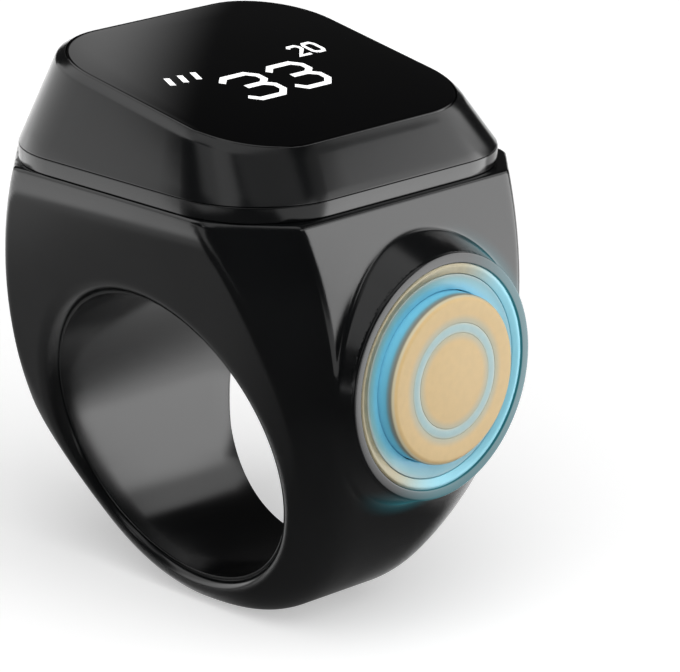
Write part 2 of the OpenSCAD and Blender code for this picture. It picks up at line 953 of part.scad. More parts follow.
module switch_flex() {
    low_z = button_z - switch_w / 2 - play;
    color("#b8702a") {
        block([pocket_x + fit, -switch_flex_hw, low_z],
            [pocket_x + fit + flex_t, switch_flex_hw, flex_run_z + flex_t]);
        block([flex_rise_x, -switch_flex_hw, flex_run_z],
            [pocket_x + fit + flex_t, switch_flex_hw, flex_run_z + flex_t]);
        block([flex_rise_x, -switch_flex_hw, flex_run_z],
            [flex_rise_x + flex_t, switch_flex_hw, board_z - fit]);
    }
}

ring_body();
finger_liner();
body_gasket();
head_frame();
head_housing();
cover_glass();
glass_adhesive();
oled_panel();
display_bracket();
display_flex();
main_board();
board_screws();
bluetooth_chip();
board_parts();
battery();
battery_tape();
battery_leads();
motor_can();
motor_shaft();
motor_rotor();
motor_weight();
charging_pins();
charging_flex();
charger_magnets();
button_bracket();
button_trim_ring();
led_board();
button_leds();
light_ring();
button_cap();
button_inlay_ring();
button_spring();
stem_clip();
stem_seal();
tact_switch();
switch_plunger();
switch_flex();
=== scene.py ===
"""A lit finger-ring counter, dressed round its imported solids.

The finger hole runs along Y, the screen is on top (+Z) and the button is on
the +X side. Sizes that repeat the solids are in millimetres and become metres
where a mesh is laid; colours are sRGB hex.
"""

import json
import math

import bpy
import numpy as np
from bpy.props import FloatProperty, FloatVectorProperty, PointerProperty
from mathutils import Matrix, Vector


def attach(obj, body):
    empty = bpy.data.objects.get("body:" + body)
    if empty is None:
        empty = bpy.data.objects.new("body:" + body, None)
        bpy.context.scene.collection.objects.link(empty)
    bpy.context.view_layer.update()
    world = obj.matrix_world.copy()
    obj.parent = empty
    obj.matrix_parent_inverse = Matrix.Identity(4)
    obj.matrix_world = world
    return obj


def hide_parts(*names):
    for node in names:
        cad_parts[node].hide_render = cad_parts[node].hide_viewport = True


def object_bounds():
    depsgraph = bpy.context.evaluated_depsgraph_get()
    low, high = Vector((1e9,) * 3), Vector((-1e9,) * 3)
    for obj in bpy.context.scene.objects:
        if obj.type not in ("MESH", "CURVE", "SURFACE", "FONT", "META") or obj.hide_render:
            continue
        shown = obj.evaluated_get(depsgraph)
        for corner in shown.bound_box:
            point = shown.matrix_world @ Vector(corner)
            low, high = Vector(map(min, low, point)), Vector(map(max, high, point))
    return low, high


bl_info = {
    "name": "Lit finger counter",
    "version": (1, 0, 0),
    "blender": (4, 5, 0),
    "location": "View3D > Sidebar > Counter",
    "description": "Builds the visible pieces of a finger-worn counter round its solids",
    "category": "Object",
}

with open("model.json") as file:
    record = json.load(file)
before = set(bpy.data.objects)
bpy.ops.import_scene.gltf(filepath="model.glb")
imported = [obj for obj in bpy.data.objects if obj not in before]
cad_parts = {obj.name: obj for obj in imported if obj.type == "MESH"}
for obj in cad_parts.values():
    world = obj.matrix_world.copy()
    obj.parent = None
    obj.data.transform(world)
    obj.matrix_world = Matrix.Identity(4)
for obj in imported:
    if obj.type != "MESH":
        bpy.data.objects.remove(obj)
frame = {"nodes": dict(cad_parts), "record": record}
CAD_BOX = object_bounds()
MM = 0.001


def colour(code):
    """Linear colour of an sRGB hex code."""
    parts = [int(code[i : i + 2], 16) / 255 for i in (1, 3, 5)]
    return tuple(
        c / 12.92 if c <= 0.04045 else ((c + 0.055) / 1.055) ** 2.4 for c in parts
    )


# ---------------------------------------------------------------- properties


def length(name, text, mm):
    """A length that a user may change, given in millimetres."""
    return FloatProperty(
        name=name, description=text, default=mm * MM, min=0.0, unit="LENGTH", precision=5
    )


def tint(name, text, code):
    """A colour that a user may change, given as sRGB hex."""
    return FloatVectorProperty(
        name=name, description=text, default=colour(code), min=0, max=1, subtype="COLOR"
    )


class CounterSizes(bpy.types.PropertyGroup):
    """Softness of the moulded edges and the size of the display's signs."""

    rim_round: length("Hole rim", "Rounding of the finger hole's two rims", 1.2)
    edge_round: length("Body edges", "Rounding between facets, sides and flanks", 0.55)
    foot_round: length("Lower edges", "Rounding of the body's edges low on the shank", 1.4)
    top_round: length("Top edge", "Rounding of the edge round the body's top", 0.18)
    knee_soft: length("Knee", "Softness of the bend below the upright top band", 0.22)
    boss_soft: length("Boss foot", "Blend between the body and the button's boss", 0.25)
    bezel_round: length("Bevel edge", "Rounding of the edge between head and bevel", 0.16)
    glass_round: length("Glass edge", "Rounding of the glass's upper edge", 0.22)
    sign_height: length("Digit height", "Height of the lit digits", 3.55)
    sign_stroke: length("Digit stroke", "Width of the lit digits' strokes", 0.46)


class CounterColours(bpy.types.PropertyGroup):
    """Colours of the visible finishes."""

    body: tint("Body", "Moulded black of body and head", "#0c0d0e")
    sleeve: tint("Sleeve", "Black resin of the sleeve in the finger hole", "#0d0e0f")
    glass: tint("Glass", "Back print behind the cover glass", "#020203")
    sign: tint("Signs", "Light of the display's signs", "#ffffff")
    trim: tint("Trim ring", "Champagne paint of the ring inside the collar", "#968d70")
    glow: tint("Lit ring", "Light of the diffuser ring", "#72bdd6")
    cap: tint("Button cap", "Satin sand paint of the cap", "#dbbd88")
    inlay: tint("Inlay", "Pale translucent ring in the cap", "#93b3b5")
    floor: tint("Floor", "Paper under the object", "#e8e8e8")


# ------------------------------------------------------------ mesh by hand


def clear_selection():
    """Leaves edit mode and deselects everything."""
    if bpy.context.mode != "OBJECT":
        bpy.ops.object.mode_set(mode="OBJECT")
    bpy.ops.object.select_all(action="DESELECT")


def only(piece):
    """Makes one piece the selected and active one."""
    clear_selection()
    piece.select_set(True)
    bpy.context.view_layer.objects.active = piece


def rename(name):
    """Names the piece that was just added, and its mesh."""
    piece = bpy.context.object
    piece.name = piece.data.name = name
    return piece


def tidy_mesh(piece, merge=0.0001 * MM):
    """Merges doubles, drops slivers and loose bits and turns all faces outwards."""
    only(piece)
    bpy.ops.object.mode_set(mode="EDIT")
    bpy.ops.mesh.select_all(action="SELECT")
    bpy.ops.mesh.dissolve_degenerate(threshold=merge)
    bpy.ops.mesh.select_all(action="SELECT")
    bpy.ops.mesh.remove_doubles(threshold=merge)
    bpy.ops.mesh.select_all(action="SELECT")
    bpy.ops.mesh.delete_loose()
    bpy.ops.mesh.select_all(action="SELECT")
    bpy.ops.mesh.normals_make_consistent(inside=False)
    bpy.ops.object.mode_set(mode="OBJECT")


def split_wide_faces(piece):
    """Cuts the faces of more than four sides, which cuts leave, into triangles."""
    only(piece)
    bpy.ops.object.mode_set(mode="EDIT")
    bpy.ops.mesh.select_mode(type="FACE")
    bpy.ops.mesh.select_all(action="DESELECT")
    bpy.ops.mesh.select_face_by_sides(number=4, type="GREATER")
    bpy.ops.mesh.quads_convert_to_tris(ngon_method="BEAUTY")
    bpy.ops.object.mode_set(mode="OBJECT")


def smooth(piece, degrees=30):
    """Shades smooth, with edges sharper than the angle kept sharp."""
    only(piece)
    bpy.ops.object.shade_smooth_by_angle(angle=math.radians(degrees))


def settle(piece):
    """Puts the piece's place into its mesh, with its object at the origin."""
    only(piece)
    bpy.ops.object.transform_apply(location=True, rotation=True, scale=True)


def lay_grid(name, points):
    """A grid primitive whose vertices are laid on rows of points, in mm."""
    rows, columns = points.shape[:2]
    clear_selection()
    bpy.ops.mesh.primitive_grid_add(x_subdivisions=columns - 1, y_subdivisions=rows - 1)
    piece = rename(name)
    piece.data.vertices.foreach_set("co", (points * MM).astype(np.float32).ravel())
    piece.data.update()
    return piece


def closed(points, axis):
    """Repeats the first row or column at the end, to close a loop."""
    return np.concatenate([points, np.take(points, [0], axis=axis)], axis=axis)


def lay_solid(name, rows, ring=True):
    """A closed piece laid from closed rows; ring joins its last row to its first."""
    rows = closed(np.asarray(rows), 1)
    piece = lay_grid(name, closed(rows, 0) if ring else rows)
    tidy_mesh(piece)
    return piece


def soften(path, setbacks, steps=4, loop=True):
    """Rounds a path's corners, each by its setback; path[i] may be many points."""
    path = np.asarray(path, float)
    n, out = len(path), []
    share = np.linspace(0, 1, steps + 1)
    for i, setback in enumerate(setbacks):
        if setback == 0 or (not loop and i in (0, n - 1)):
            out.append(path[i])
            continue
        ends = []
        for other in (path[i - 1], path[(i + 1) % n]):
            gap = other - path[i]
            size = np.linalg.norm(gap, axis=-1, keepdims=True)
            ends.append(path[i] + gap * np.minimum(setback / size, 0.48))
        for s in share:
            out.append(ends[0] * (1 - s) ** 2 + path[i] * 2 * s * (1 - s) + ends[1] * s**2)
    return np.array(out)


def turned(name, profile, segments=128):
    """A profile of (radius, x) points in mm, spun round the button's axis."""
    clear_selection()
    bpy.ops.mesh.primitive_circle_add(vertices=len(profile), fill_type="NOTHING")
    piece = rename(name)
    for vertex, (radius, x) in zip(piece.data.vertices, profile):
        vertex.co = (x * MM, 0, radius * MM)
    only(piece)
    bpy.ops.object.mode_set(mode="EDIT")
    bpy.ops.mesh.select_all(action="SELECT")
    bpy.ops.mesh.spin(
        steps=segments, angle=2 * math.pi, center=(0, 0, 0), axis=(1, 0, 0)
    )
    bpy.ops.object.mode_set(mode="OBJECT")
    piece.location.z = BUTTON_Z * MM
    settle(piece)
    tidy_mesh(piece)
    return piece


def pick_edges(piece, test):
    """Selects the edges whose middle and direction pass the test, in edit mode."""
    only(piece)
    bpy.ops.object.mode_set(mode="EDIT")
    bpy.ops.mesh.select_mode(type="EDGE")
    bpy.ops.mesh.select_all(action="DESELECT")
    bpy.ops.object.mode_set(mode="OBJECT")
    points = piece.data.vertices
    for edge in piece.data.edges:
        a, b = (points[i].co for i in edge.vertices)
        edge.select = test((a + b) / 2, (b - a).normalized())
    bpy.ops.object.mode_set(mode="EDIT")


def cut_or_join(piece, tool, operation):
    """Applies a boolean with another piece, which is then deleted."""
    only(piece)
    change = piece.modifiers.new("cut", "BOOLEAN")
    change.operation, change.object, change.solver = operation, tool, "EXACT"
    bpy.ops.object.modifier_apply(modifier=change.name)
    only(tool)
    bpy.ops.object.delete()


def finish_piece(piece, body, slot, finish, *nodes):
    """Gives a piece its finish and body and hides the CAD nodes that it stands for; slot is not
    used.
    """
    piece.data.materials.clear()
    piece.data.materials.append(finish)
    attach(piece, body)
    if nodes:
        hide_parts(*nodes)
    clear_selection()
    return piece


# ------------------------------------------------------------- sizes in mm

BORE_R = 10.0
LIP_R = 10.1
SEAT_R = 10.42
SLEEVE_INSET = 0.9
SIDE_X = 15.4
SHOULDER_Z = 7.1
SIDE_R = 23.0
SHANK_R = 12.2
BODY_TOP = 17.2
HIP_Y = 8.65
TOP_Y = 13.1
LEAN = math.radians(15.7)
FULLNESS = (1.9, 2.4)
FACET_MID_Z = 9.8
# Corner facets: cut off the front at the top, turn and radius. They are the front
# one beside the button, the front one on the plain side and the two at the back
FACETS = (
    (4.9, math.radians(53), 38.0),
    (4.1, math.radians(45), 36.0),
    (3.5, math.radians(45), 36.0),
)
BUTTON_Z = 6.25
COLLAR_R = 8.0
COLLAR_X = 16.6
FLARE_X = 16.5
BOSS_R = 9.3
BOSS_TAPER = math.radians(22)
BOSS_FOOT_X = 9.0
# How far the boss stays inside the collar's wall and below its own end
BOSS_INSET = 0.04
BOSS_END = 0.15
# The edges are softest low on the shank: where that starts and over what height
LOW_FROM = 4.0
LOW_OVER = 12.0
# Width of a soft bend for each millimetre of rounding: a bend to a given radius,
# the facets' lower edges, and the edges higher up, which are kept crisper
BEND = 1.66
FACET_BEND = 1.6
CRISP_BEND = 0.45
WELL_R = 7.35
WELL_X = 14.23
# The well is cut wider than it is, out to past the button, and the collar that
# closes it is rooted in the body and stands a hair proud of the boss
WELL_CUT_R = 7.9
CUT_X = 20
COLLAR_ROOT_R = 8.3
COLLAR_PROUD = 0.03
HEAD = (12.71, 12.95, 6.6)
# Half width of the body's top, a little more than the head's
TOP_X = HEAD[0] + 0.35
SPIGOT = (11.31, 11.55, 5.2)
REBATE_Z = 15.7
BAND_TOP = 18.25
SCREEN_Z = 22.95
SCREEN_SHIFT = 0.27
SCREEN_TILT = math.radians(10)
GLASS = (10.15, 10.9, 5.5)
GLASS_T = 1.0
BEZEL_W = 0.6
BEZEL_DROP = 0.45


# --------------------------------------------------------- ring body's form


def soft_max(a, b, k):
    """The larger of two distances, eased over k where they are alike."""
    h = np.maximum(k - np.abs(a - b), 0) / k
    return np.maximum(a, b) + h * h * k / 4


def soft_min(a, b, k):
    """The smaller of two distances, eased over k where they are alike."""
    return -soft_max(-a, -b, k)


def round_max(a, b, radius):
    """The larger of two distances, with a round of that radius between them."""
    deep = np.minimum(np.maximum(a, b), -radius)
    return deep + np.hypot(np.maximum(a + radius, 0), np.maximum(b + radius, 0))


def outline_distance(x, z):
    """How far a point lies outside the body's front outline."""
    upper = np.hypot(np.abs(x) + SIDE_R - SIDE_X, z - SHOULDER_Z) - SIDE_R
    n = np.where(x < 0, FULLNESS[0], FULLNESS[1])
    tall = SHOULDER_Z + SHANK_R
    u = np.maximum(np.abs(x) / SIDE_X, 1e-6)
    v = np.maximum((SHOULDER_Z - z) / tall, 1e-6)
    g = (u**n + v**n) ** (1 / n)
    slope = np.hypot(u ** (n - 1) / SIDE_X, v ** (n - 1) / tall) * g ** (1 - n)
    return np.where(z > SHOULDER_Z, upper, (g - 1) / slope)


def facet_distance(x, y, z):
    """How far a point lies outside the curved facet of its own corner."""
    out = []
    for cut, turn, radius in FACETS:
        c, s = math.cos(turn), math.sin(turn)
        top = (TOP_X - cut) * c + TOP_Y * s
        middle = top - math.sqrt(radius**2 - (BODY_TOP - FACET_MID_Z) ** 2)
        u = np.abs(x) * c + np.abs(y) * s
        out.append(np.hypot(u - middle, z - FACET_MID_Z) - radius)
    return np.where(y > 0, out[2], np.where(x > 0, out[0], out[1]))


def boss_distance(x, y, z):
    """How far a point lies outside the flared boss round the button."""
    q = np.hypot(y, z - BUTTON_Z)
    across, along = math.cos(BOSS_TAPER), math.sin(BOSS_TAPER)
    wall = (q - COLLAR_R + BOSS_INSET) * across - (FLARE_X - x) * along
    ends = np.maximum(x - FLARE_X + BOSS_END, BOSS_FOOT_X - x)
    return np.maximum(np.maximum(wall, q - BOSS_R), ends)


def outer_distance(x, y, z, sizes):
    """How far a point lies outside the body, with its finger hole filled."""
    edge, foot = sizes.edge_round / MM, sizes.foot_round / MM
    lean = (np.abs(y) - HIP_Y - math.tan(LEAN) * z) * math.cos(LEAN)
    flank = soft_max(lean, np.abs(y) - TOP_Y, sizes.knee_soft / MM)
    low = np.clip((LOW_FROM - z) / LOW_OVER, 0, 1)
    low = low * low * (3 - 2 * low)
    facet_soft = edge * CRISP_BEND + foot * FACET_BEND * low
    side = soft_max(outline_distance(x, z), facet_distance(x, y, z), facet_soft)
    side = soft_min(side, boss_distance(x, y, z), sizes.boss_soft / MM)
    body = soft_max(side, flank, edge * CRISP_BEND * (1 - low) + foot * BEND * low)
    return soft_max(body, z - BODY_TOP, sizes.top_round / MM * BEND)


def body_distance(x, y, z, sizes):
    """How far a point lies outside the ring body."""
    bore = LIP_R - np.hypot(x, z)
    return round_max(outer_distance(x, y, z, sizes), bore, sizes.rim_round / MM)


# Steps of the body's grid in mm: long ones round it and across it, short ones
# within a radius of the button's axis and past a place along it
ROUND_STEP = 0.62
ACROSS_STEP = 0.6
FINE_STEP = 0.17
FINE_R = 9.4
FINE_X = 11.5
FINE_FADE = 2
# A line's turn that takes a step, and the samples over which steps change
STEP_TURN = math.radians(9)
STEP_BLUR = 6
SECTION_BLUR = 8
# Samples round the body and across one side, reach of the rays in mm, and how a
# ray finds the surface: steps along it and halvings of the last one
ROUND_SAMPLES = 2401
ACROSS_SAMPLES = 481
REACH = 40
SIDE_REACH = 30
MARCH = 40
HALVINGS = 22


def travel(line, coarse, place):
    """How far along a polyline each of its points is, in steps of the grid.

    A step is short near the boss and where the line turns, and the change
    from short to long steps is gradual.
    """
    step = np.linalg.norm(np.diff(line, axis=0), axis=1)
    way = np.unwrap(np.arctan2(*np.diff(line, axis=0).T))
    turning = np.abs(np.diff(way, prepend=way[0])) / STEP_TURN
    x, y, z = place[:-1].T
    near = np.clip(1.5 - (np.hypot(y, z - BUTTON_Z) - FINE_R) / FINE_FADE, 0, 1)
    near = near * np.clip((x - FINE_X) / FINE_FADE, 0, 1)
    weights = step * (1 / coarse + near * (1 / FINE_STEP - 1 / coarse)) + turning
    taps = 2 * STEP_BLUR + 1
    weights = np.convolve(np.pad(weights, STEP_BLUR, mode="edge"), np.ones(taps) / taps, "valid")
    return np.concatenate([[0], np.cumsum(weights)])


def crossing(form, sizes, start, theta, phi, limit):
    """Length of each ray from a start inside the wall to the body's surface.

    Theta gives the half plane through the button's height that a ray lies in,
    start its distance from there, and phi its direction in that plane.
    """

    def outside(t):
        s = start + t * np.cos(phi)
        x, z = s * np.cos(theta), BUTTON_Z + s * np.sin(theta)
        return form(x, t * np.sin(phi), z, sizes) > 0

    high = np.broadcast_to(limit, np.broadcast(start, theta, phi).shape).astype(float)
    found = np.zeros(high.shape, bool)
    low, near = high * 0, high
    for share in np.linspace(0, 1, MARCH + 1)[1:]:
        out = outside(high * share) & ~found
        low = np.where(out, high * (share - 1 / MARCH), low)
        near = np.where(out, high * share, near)
        found |= out
    for _ in range(HALVINGS):
        middle = (low + near) / 2
        out = outside(middle)
        low, near = np.where(out, low, middle), np.where(out, middle, near)
    return near


def body_sections(sizes, count=330, half=112):
    """Rows of points round the body: one closed section for each direction."""
    turn = np.linspace(0, 2 * math.pi, ROUND_SAMPLES)
    reach = crossing(outer_distance, sizes, turn * 0, turn, turn * 0, REACH)
    line = np.stack([reach * np.cos(turn), reach * np.sin(turn)], axis=1)
    place = np.stack([line[:, 0], turn * 0, line[:, 1] + BUTTON_Z], axis=1)
    along = travel(line, ROUND_STEP, place)
    theta = np.interp(np.linspace(0, along[-1], count + 1)[:-1], along, turn)[:, None]
    bore = -BUTTON_Z * np.sin(theta) + np.sqrt(LIP_R**2 - (BUTTON_Z * np.cos(theta)) ** 2)
    outer = crossing(outer_distance, sizes, theta * 0, theta, theta * 0, REACH)
    middle = (bore + outer) / 2
    halves = []
    for side in (-1, 1):
        phi = side * np.linspace(math.pi, 0, ACROSS_SAMPLES)[None, :]
        limit = np.minimum(SIDE_REACH, (middle - bore + 1) / np.maximum(-np.cos(phi), 1e-3))
        t = crossing(body_distance, sizes, middle, theta, phi, limit)
        s, y = middle + t * np.cos(phi), t * np.sin(phi)
        points = np.stack([s * np.cos(theta), y, BUTTON_Z + s * np.sin(theta)], axis=-1)
        lines = np.stack([s, y], axis=-1)
        along = np.array([travel(line, ACROSS_STEP, place) for line, place in zip(lines, points)])
        along /= along[:, -1:]
        # Neighbouring sections share their steps, so that the grid stays even
        blur = np.hanning(2 * SECTION_BLUR + 3)[1:-1]
        around = np.pad(along, ((SECTION_BLUR, SECTION_BLUR), (0, 0)), mode="wrap")
        along = np.array([np.convolve(c, blur / blur.sum(), "valid") for c in around.T]).T
        wanted = np.linspace(0, 1, half + 1)
        index = np.arange(phi.shape[1])
        halves.append(
            np.array(
                [
                    [np.interp(np.interp(wanted, a, index), index, p[:, k]) for k in range(3)]
                    for a, p in zip(along, points)
                ]
            ).transpose(0, 2, 1)
        )
    front, back = halves
    return np.concatenate([front[:, :-1], back[:, :0:-1]], axis=1)


# ------------------------------------------------------------ head's loops


def loop(half_x, half_y, radius, arc=14, straight=6):
    """Points of a rounded rectangle, in order round it."""
    points = []
    for k, (sx, sy) in enumerate([(1, 1), (-1, 1), (-1, -1), (1, -1)]):
        middle = np.array([sx * (half_x - radius), sy * (half_y - radius)])
        turn = np.radians(90 * k + np.linspace(0, 90, arc + 1))
        points.append(middle + radius * np.stack([np.cos(turn), np.sin(turn)], axis=1))
    out = []
    for k in range(4):
        out.extend(points[k])
        here, there = points[k][-1], points[(k + 1) % 4][0]
        out.extend(here + (there - here) * s for s in np.arange(1, straight) / straight)
    return np.array(out)


def level(half_x, half_y, radius, z):
    """A rounded rectangle at a level height."""
    flat = loop(half_x, half_y, radius)
    return np.column_stack([flat, np.full(len(flat), z)])


def on_screen(points):
    """Points of the tilted screen's frame, from the middle of the glass's face."""
    x, y, z = np.moveaxis(np.asarray(points, float), -1, 0)
    c, s = math.cos(SCREEN_TILT), math.sin(SCREEN_TILT)
    return np.stack([SCREEN_SHIFT + x * c + z * s, y, SCREEN_Z - x * s + z * c], axis=-1)


def tilted(half_x, half_y, radius, z):
    """A rounded rectangle in the screen's plane, z above the glass's face."""
    return on_screen(level(half_x, half_y, radius, z))


def grown(size, by):
    """A rounded rectangle's size, wider by the same amount all round."""
    return tuple(v + by for v in size)


# --------------------------------------------------------------- materials


def add_node(tree, kind, settings=None, **inputs):
    """Adds a node with its settings, and sets or links its inputs."""
    node = tree.nodes.new(kind)
    for key, value in (settings or {}).items():
        setattr(node, key, value)
    for key, value in inputs.items():
        numbered = key[0] == "_"
        socket = node.inputs[int(key[1:]) if numbered else key.replace("_", " ")]
        if isinstance(value, bpy.types.NodeSocket):
            tree.links.new(value, socket)
        else:
            socket.default_value = value
    return node


SMOOTH = {"interpolation_type": "SMOOTHSTEP"}
COLOURS = {"data_type": "RGBA"}
MULTIPLY = {"operation": "MULTIPLY"}
MAXIMUM = {"operation": "MAXIMUM"}


def surface(
    name, shade, spread=0.85, metallic=0.0, rough=(0.3, 0.4), grain=1.0, lift=0.001, **more
):
    """A finish whose colour, gloss and relief wander over grains of a real size.

    spread is how dark its darker patches are, rough its lowest and highest
    roughness, grain the size of its patches and lift its relief, both in mm.
    along squeezes the pattern on Y, bands are colours laid over the tone, and
    glow is the strength of its light, a painted glow only on the lit bands if given.
    """
    finish = bpy.data.materials.new(name)
    finish.use_nodes = True
    tree = finish.node_tree
    tree.nodes.clear()
    place = add_node(tree, "ShaderNodeTexCoord").outputs["Object"]
    scaled = add_node(
        tree, "ShaderNodeMapping", Vector=place, Scale=(1, more.get("along", 1), 1)
    ).outputs[0]
    patches = add_node(
        tree, "ShaderNodeTexNoise", Vector=scaled, Scale=1 / (3 * grain * MM), Detail=3.0
    ).outputs[0]
    grains = add_node(
        tree, "ShaderNodeTexNoise", Vector=scaled, Scale=1 / (grain * MM), Detail=2.0
    ).outputs[0]
    share = add_node(
        tree, "ShaderNodeMapRange", Value=patches, From_Min=0.35, From_Max=0.65
    ).outputs[0]
    dark = tuple(c * spread for c in shade)
    tone = add_node(
        tree, "ShaderNodeMix", COLOURS, Factor=share, _6=(*dark, 1), _7=(*shade, 1)
    ).outputs[2]
    if "bands" in more:
        tone = banded(tree, place, tone, more["bands"])
    gloss = add_node(
        tree, "ShaderNodeMapRange", Value=share, To_Min=rough[0], To_Max=rough[1]
    ).outputs[0]
    bump = add_node(tree, "ShaderNodeBump", Distance=lift * MM, Height=grains).outputs[0]
    shader = add_node(
        tree,
        "ShaderNodeBsdfPrincipled",
        Base_Color=tone,
        Metallic=float(metallic),
        Roughness=gloss,
        Normal=bump,
    )
    if "ior" in more:
        shader.inputs["IOR"].default_value = more["ior"]
    if "glow" in more:
        shader.inputs["Emission Strength"].default_value = more["glow"]
        # Lit bands: a painted glow, black where no band lies
        if "lit" in more:
            tone = banded(tree, place, None, more["lit"])
        tree.links.new(tone, shader.inputs["Emission Color"])
    add_node(tree, "ShaderNodeOutputMaterial", Surface=shader.outputs[0])
    return finish


def banded(tree, place, tone, bands):
    """Lays colours over a tone, each on a band of distance from the button's axis.

    A band is (axis, low, high, blur, strength, colour), in mm: axis "r" is the
    distance from the button's axis, "x" the place along it, and the third axis
    the distance again, kept to one side: a painted spill of the lamps' light.
    """
    centred = add_node(
        tree,
        "ShaderNodeMapping",
        {"vector_type": "TEXTURE"},
        Vector=place,
        Location=(0, 0, BUTTON_Z * MM),
        Scale=(MM, MM, MM),
    ).outputs[0]
    split = add_node(tree, "ShaderNodeSeparateXYZ", Vector=centred).outputs
    flat = add_node(tree, "ShaderNodeCombineXYZ", Y=split[1], Z=split[2]).outputs[0]
    radius = add_node(
        tree, "ShaderNodeVectorMath", {"operation": "LENGTH"}, _0=flat
    ).outputs["Value"]
    way = add_node(
        tree, "ShaderNodeVectorMath", {"operation": "NORMALIZE"}, _0=flat
    ).outputs[0]
    toward_spill = add_node(
        tree, "ShaderNodeVectorMath", {"operation": "DOT_PRODUCT"}, _0=way, _1=PAINTED_SPILL_WAY
    ).outputs["Value"]
    spill = add_node(
        tree,
        "ShaderNodeMapRange",
        SMOOTH,
        Value=toward_spill,
        From_Min=PAINTED_SPILL_EDGES[0],
        From_Max=PAINTED_SPILL_EDGES[1],
    ).outputs[0]
    for axis, low, high, blur, strength, shade in bands:
        value = split[0] if axis == "x" else radius
        rise, fall = (
            add_node(
                tree,
                "ShaderNodeMapRange",
                SMOOTH,
                Value=value,
                From_Min=edge - blur / 2,
                From_Max=edge + blur / 2,
                To_Min=first,
                To_Max=strength - first if edge == low else 0.0,
            ).outputs[0]
            for edge, first in ((low, 0.0), (high, strength))
        )
        share = add_node(
            tree, "ShaderNodeMath", {"operation": "MINIMUM"}, _0=rise, _1=fall
        ).outputs[0]
        # Painted spill of the lamps' light: this band only on one side of the button
        if axis == "painted_halo":
            share = add_node(
                tree, "ShaderNodeMath", MULTIPLY, _0=share, _1=spill
            ).outputs[0]
        under = (0, 0, 0, 1) if tone is None else tone
        tone = add_node(
            tree, "ShaderNodeMix", COLOURS, Factor=share, _6=under, _7=(*shade, 1)
        ).outputs[2]
    return tone


# Where the painted spill of the lamps' light lies round the button: its middle
# direction across the button's axis, and the cosines at which it starts and is full
PAINTED_SPILL_WAY = (0, math.cos(math.radians(25)), -math.sin(math.radians(25)))
PAINTED_SPILL_EDGES = (-0.25, 0.5)

# What each finish is, and what that gives the eye.
# ABS moulded in a polished tool: deep black gloss, with slow waves in it
GLOSS = {"spread": 0.7, "rough": (0.16, 0.21), "grain": 2.4, "lift": 0.002, "ior": 1.46}
# The same resin, polished along the hole: faint long waves
SLEEVE = {"spread": 0.8, "rough": (0.14, 0.2), "grain": 1.6, "ior": 1.48, "along": 0.3}
# Toughened glass over a black print: a flat, clear gloss
GLASS_FINISH = {"spread": 0.6, "rough": (0.05, 0.09), "grain": 4.0, "lift": 0.0004, "ior": 1.5}
# White light of the display's pixels
SIGN = {"spread": 0.92, "rough": (0.35, 0.45), "grain": 0.15, "lift": 0.0002, "glow": 0.75}
# Metallic champagne paint: satin with a fine flake, drawn as coarse as shows;
# its glow is a painted teal glow of the button's light
CHAMPAGNE = {"spread": 0.84, "metallic": 0.2, "grain": 0.15, "lift": 0.0008, "glow": 0.25}
# Frosted polycarbonate lit from behind: bright at its lamps, pale at its rim
DIFFUSER = {"spread": 0.93, "rough": (0.32, 0.42), "grain": 0.3, "lift": 0.001, "glow": 0.1}
# Satin paint on the cap's face, over a skirt with a painted cyan glow of the ring's light
CAP = {
    "spread": 0.96, "rough": (0.42, 0.5), "grain": 0.2, "lift": 0.0006, "ior": 1.35, "glow": 0.1,
}
# Translucent resin, faintly lit from inside the cap
RESIN = {"spread": 0.9, "rough": (0.3, 0.4), "grain": 0.3, "lift": 0.0005, "glow": 0.06}

# Finishes of the hidden pieces, by slot: colour and the same settings. Few of
# them show, through the gap round the button.
INNER = {
    # moulded nitrile rubber, dull
    "seal_rubber": ("#2b2b2b", {"rough": (0.6, 0.8), "grain": 0.3, "lift": 0.004}),
    # acrylic foam tape, finely pitted
    "bonding_tape": ("#d8d4c6", {"rough": (0.5, 0.7), "grain": 0.5, "lift": 0.003}),
    # glass sandwich, near black
    "display_panel": ("#0c0d12", {"rough": (0.15, 0.25), "grain": 3.0, "lift": 0.001}),
    # glass-filled nylon, as moulded
    "inner_plastic": ("#2c2d30", {"rough": (0.4, 0.5), "grain": 0.4, "lift": 0.003}),
    # polyimide film over copper, amber
    "flex_film": ("#b8702a", {"rough": (0.3, 0.4), "grain": 1.2, "lift": 0.002}),
    # glass-fibre board under green solder mask
    "circuit_board": ("#14532d", {"rough": (0.35, 0.45), "grain": 0.6, "lift": 0.004}),
    # nickel-plated steel, bright
    "plated_steel": ("#c4c7cc", {"metallic": 1, "rough": (0.22, 0.32), "grain": 0.5}),
    # moulding compound, sandy black
    "chip_resin": ("#26272b", {"rough": (0.5, 0.6), "grain": 0.2, "lift": 0.003}),
    # aluminium laminate, slightly creased
    "cell_foil": ("#c9ccd0", {"metallic": 1, "rough": (0.3, 0.45), "grain": 1.6, "lift": 0.012}),
    # PVC insulation, soft sheen
    "lead_wire": ("#8f1d18", {"rough": (0.45, 0.55), "grain": 0.4, "lift": 0.002}),
    # turned brass
    "rotor_brass": ("#b58a45", {"metallic": 1, "rough": (0.25, 0.35), "grain": 0.3}),
    # sintered tungsten, fine grain
    "dense_weight": (
        "#6d7075", {"metallic": 1, "rough": (0.38, 0.48), "grain": 0.25, "lift": 0.003},
    ),
    # hard gold on brass
    "gold_contact": ("#d9b25a", {"metallic": 1, "rough": (0.2, 0.28), "grain": 0.4}),
    # nickel over a sintered magnet
    "plated_magnet": ("#b9bcc2", {"metallic": 1, "rough": (0.18, 0.26), "grain": 0.8}),
    # clear lamp resin over white
    "led_resin": ("#f2f6f7", {"rough": (0.2, 0.3), "grain": 0.5}),
    # acetal, waxy and pale
    "plunger_plastic": ("#e9e4d4", {"rough": (0.35, 0.45), "grain": 0.3, "lift": 0.002}),
}


# ---------------------------------------------------------------- operators


